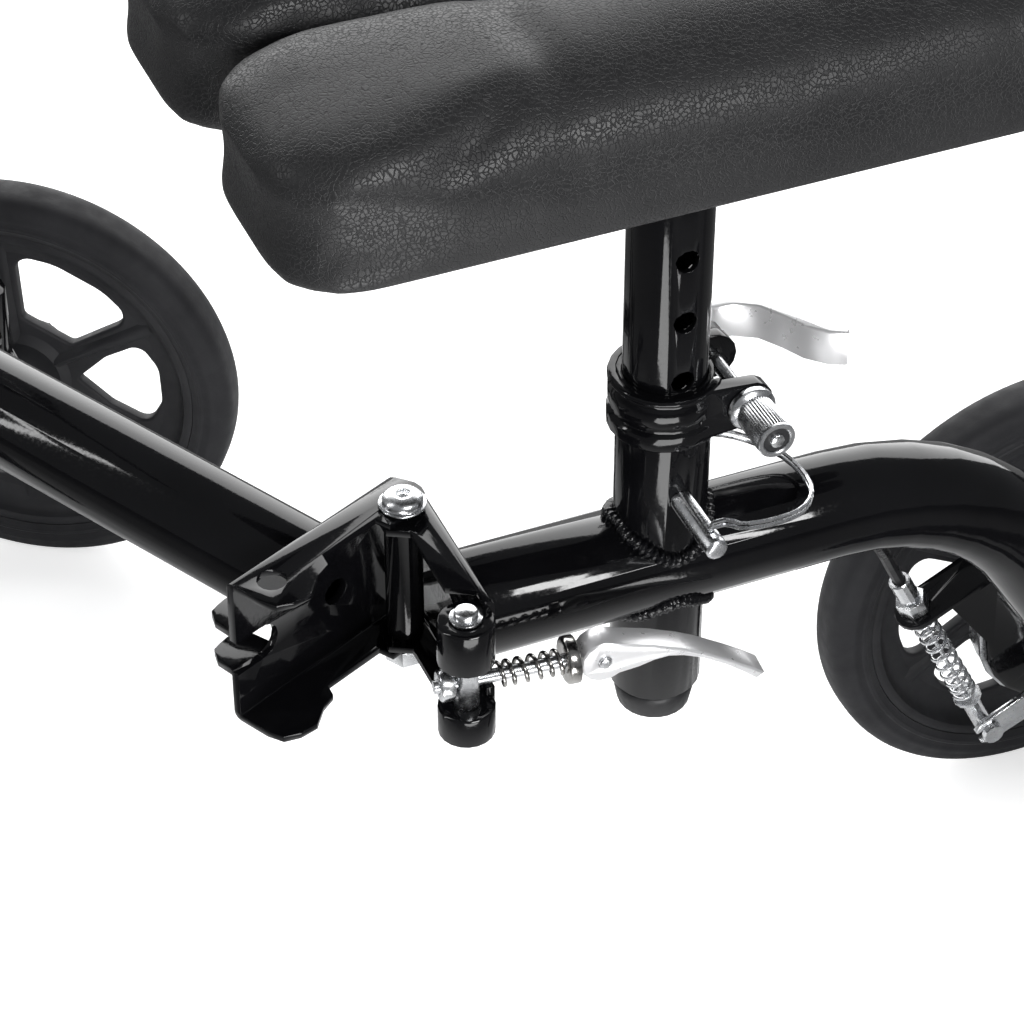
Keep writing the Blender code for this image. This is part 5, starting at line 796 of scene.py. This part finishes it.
def build_floor():
    """Pale floor; mirrored in the paint, it is dark away from the walker."""
    bm = bmesh.new()
    bm.faces.new([bm.verts.new((x * FLOOR_HALF, y * FLOOR_HALF, FLOOR_Z))
                  for x, y in ((-1, -1), (1, -1), (1, 1), (-1, 1))])
    s = Shader("white_sweep").set(specular=0.1)
    pale = s.ramp(s.noise(3, 2), 0.3, 0.7, (0.92, 0.92, 0.92), (0.94, 0.94, 0.94))
    s.to(s.ramp(s.noise(5, 2), 0.3, 0.7, 0.85, 0.95), "Roughness")
    away = s.node("ShaderNodeVectorMath", operation="LENGTH")
    s.link(s.coord, away.inputs[0])
    dark = s.ramp(away.outputs["Value"], PALE_TO, DARK_FROM, (1.0, 1.0, 1.0),
                  (0.22, 0.22, 0.22))
    mirrored = s.node("ShaderNodeMix", data_type="RGBA")
    s.link(s.node("ShaderNodeLightPath").outputs["Is Glossy Ray"], mirrored.inputs["Factor"])
    mirrored.inputs["A"].default_value = (1, 1, 1, 1)
    s.link(dark, mirrored.inputs["B"])
    tint = s.node("ShaderNodeMix", data_type="RGBA", blend_type="MULTIPLY")
    tint.inputs["Factor"].default_value = 1.0
    s.link(pale, tint.inputs["A"])
    s.link(mirrored.outputs["Result"], tint.inputs["B"])
    s.to(tint.outputs["Result"], "Base Color")
    s.bsdf.inputs["Emission Color"].default_value = (1, 1, 1, 1)
    glow = s.node("ShaderNodeMath", operation="MULTIPLY")
    glow.inputs[1].default_value = FLOOR_GLOW
    s.link(s.node("ShaderNodeLightPath").outputs["Is Camera Ray"], glow.inputs[0])
    s.to(glow.outputs["Value"], "Emission Strength")
    floor = new_object("studio_floor", bm, s.mat)


def build_sky():
    """White where the camera sees it, and a weak even fill for everything else."""
    world = bpy.data.worlds.new("studio")
    bpy.context.scene.world = world
    world.use_nodes = True
    tree = world.node_tree
    tree.nodes.clear()
    out = tree.nodes.new("ShaderNodeOutputWorld")
    mix = tree.nodes.new("ShaderNodeMixShader")
    path = tree.nodes.new("ShaderNodeLightPath")
    seen = tree.nodes.new("ShaderNodeBackground")
    seen.inputs["Color"].default_value = (1, 1, 1, 1)
    seen.inputs["Strength"].default_value = 1.0
    fill = tree.nodes.new("ShaderNodeBackground")
    fill.inputs["Color"].default_value = (0.95, 0.97, 1.0, 1)
    fill.inputs["Strength"].default_value = SKY_FILL
    tree.links.new(path.outputs["Is Camera Ray"], mix.inputs["Fac"])
    tree.links.new(fill.outputs["Background"], mix.inputs[1])
    tree.links.new(seen.outputs["Background"], mix.inputs[2])
    tree.links.new(mix.outputs["Shader"], out.inputs["Surface"])


def build_lights():
    """A white wall behind the walker, a box before it, a strip at its left, a board below."""
    target = here(40, 0, 330)
    area_light("back_wall", here(715, 1670, 920), target, 3.2, 1.75, 64)
    area_light("front_box", here(200, -1190, 1190), target, 0.62, 0.26, 13)
    area_light("strip_left", here(-1330, 300, 1130), target, 0.10, 1.3, 5)
    area_light("low_board", here(-90, -560, 12), here(0, -200, 400), 0.50, 0.50, 5.6)


LENS = 122.4
SENSOR_W = 36.0
LENS_SHIFT = (0.0086, 0.0021)
CAMERA_AT = (-317.1, -840.9, 1084.3)
CAMERA_AZIMUTH = 0.39807       # radians, from +Y to +X
CAMERA_DROP = 0.69321          # radians below the horizontal


def build_camera():
    """The photograph's own camera, found from the tubes, wheels and hinge."""
    data = bpy.data.cameras.new("photo_camera")
    cam = bpy.data.objects.new("photo_camera", data)
    bpy.context.scene.collection.objects.link(cam)
    data.sensor_fit = "HORIZONTAL"
    data.sensor_width = SENSOR_W
    data.lens = LENS
    data.shift_x, data.shift_y = LENS_SHIFT
    data.clip_start = 0.05
    data.clip_end = 50
    forward = Vector((math.sin(CAMERA_AZIMUTH) * math.cos(CAMERA_DROP),
                      math.cos(CAMERA_AZIMUTH) * math.cos(CAMERA_DROP),
                      -math.sin(CAMERA_DROP)))
    right = Vector((math.cos(CAMERA_AZIMUTH), -math.sin(CAMERA_AZIMUTH), 0))
    up = right.cross(forward)
    turn = Matrix((right, up, -forward)).transposed().to_4x4()
    cam.matrix_world = Matrix.Translation(here(*CAMERA_AT)) @ turn
    bpy.context.scene.camera = cam


build_floor()
build_sky()
build_lights()
build_camera()
bpy.context.scene.view_settings.view_transform = "Standard"
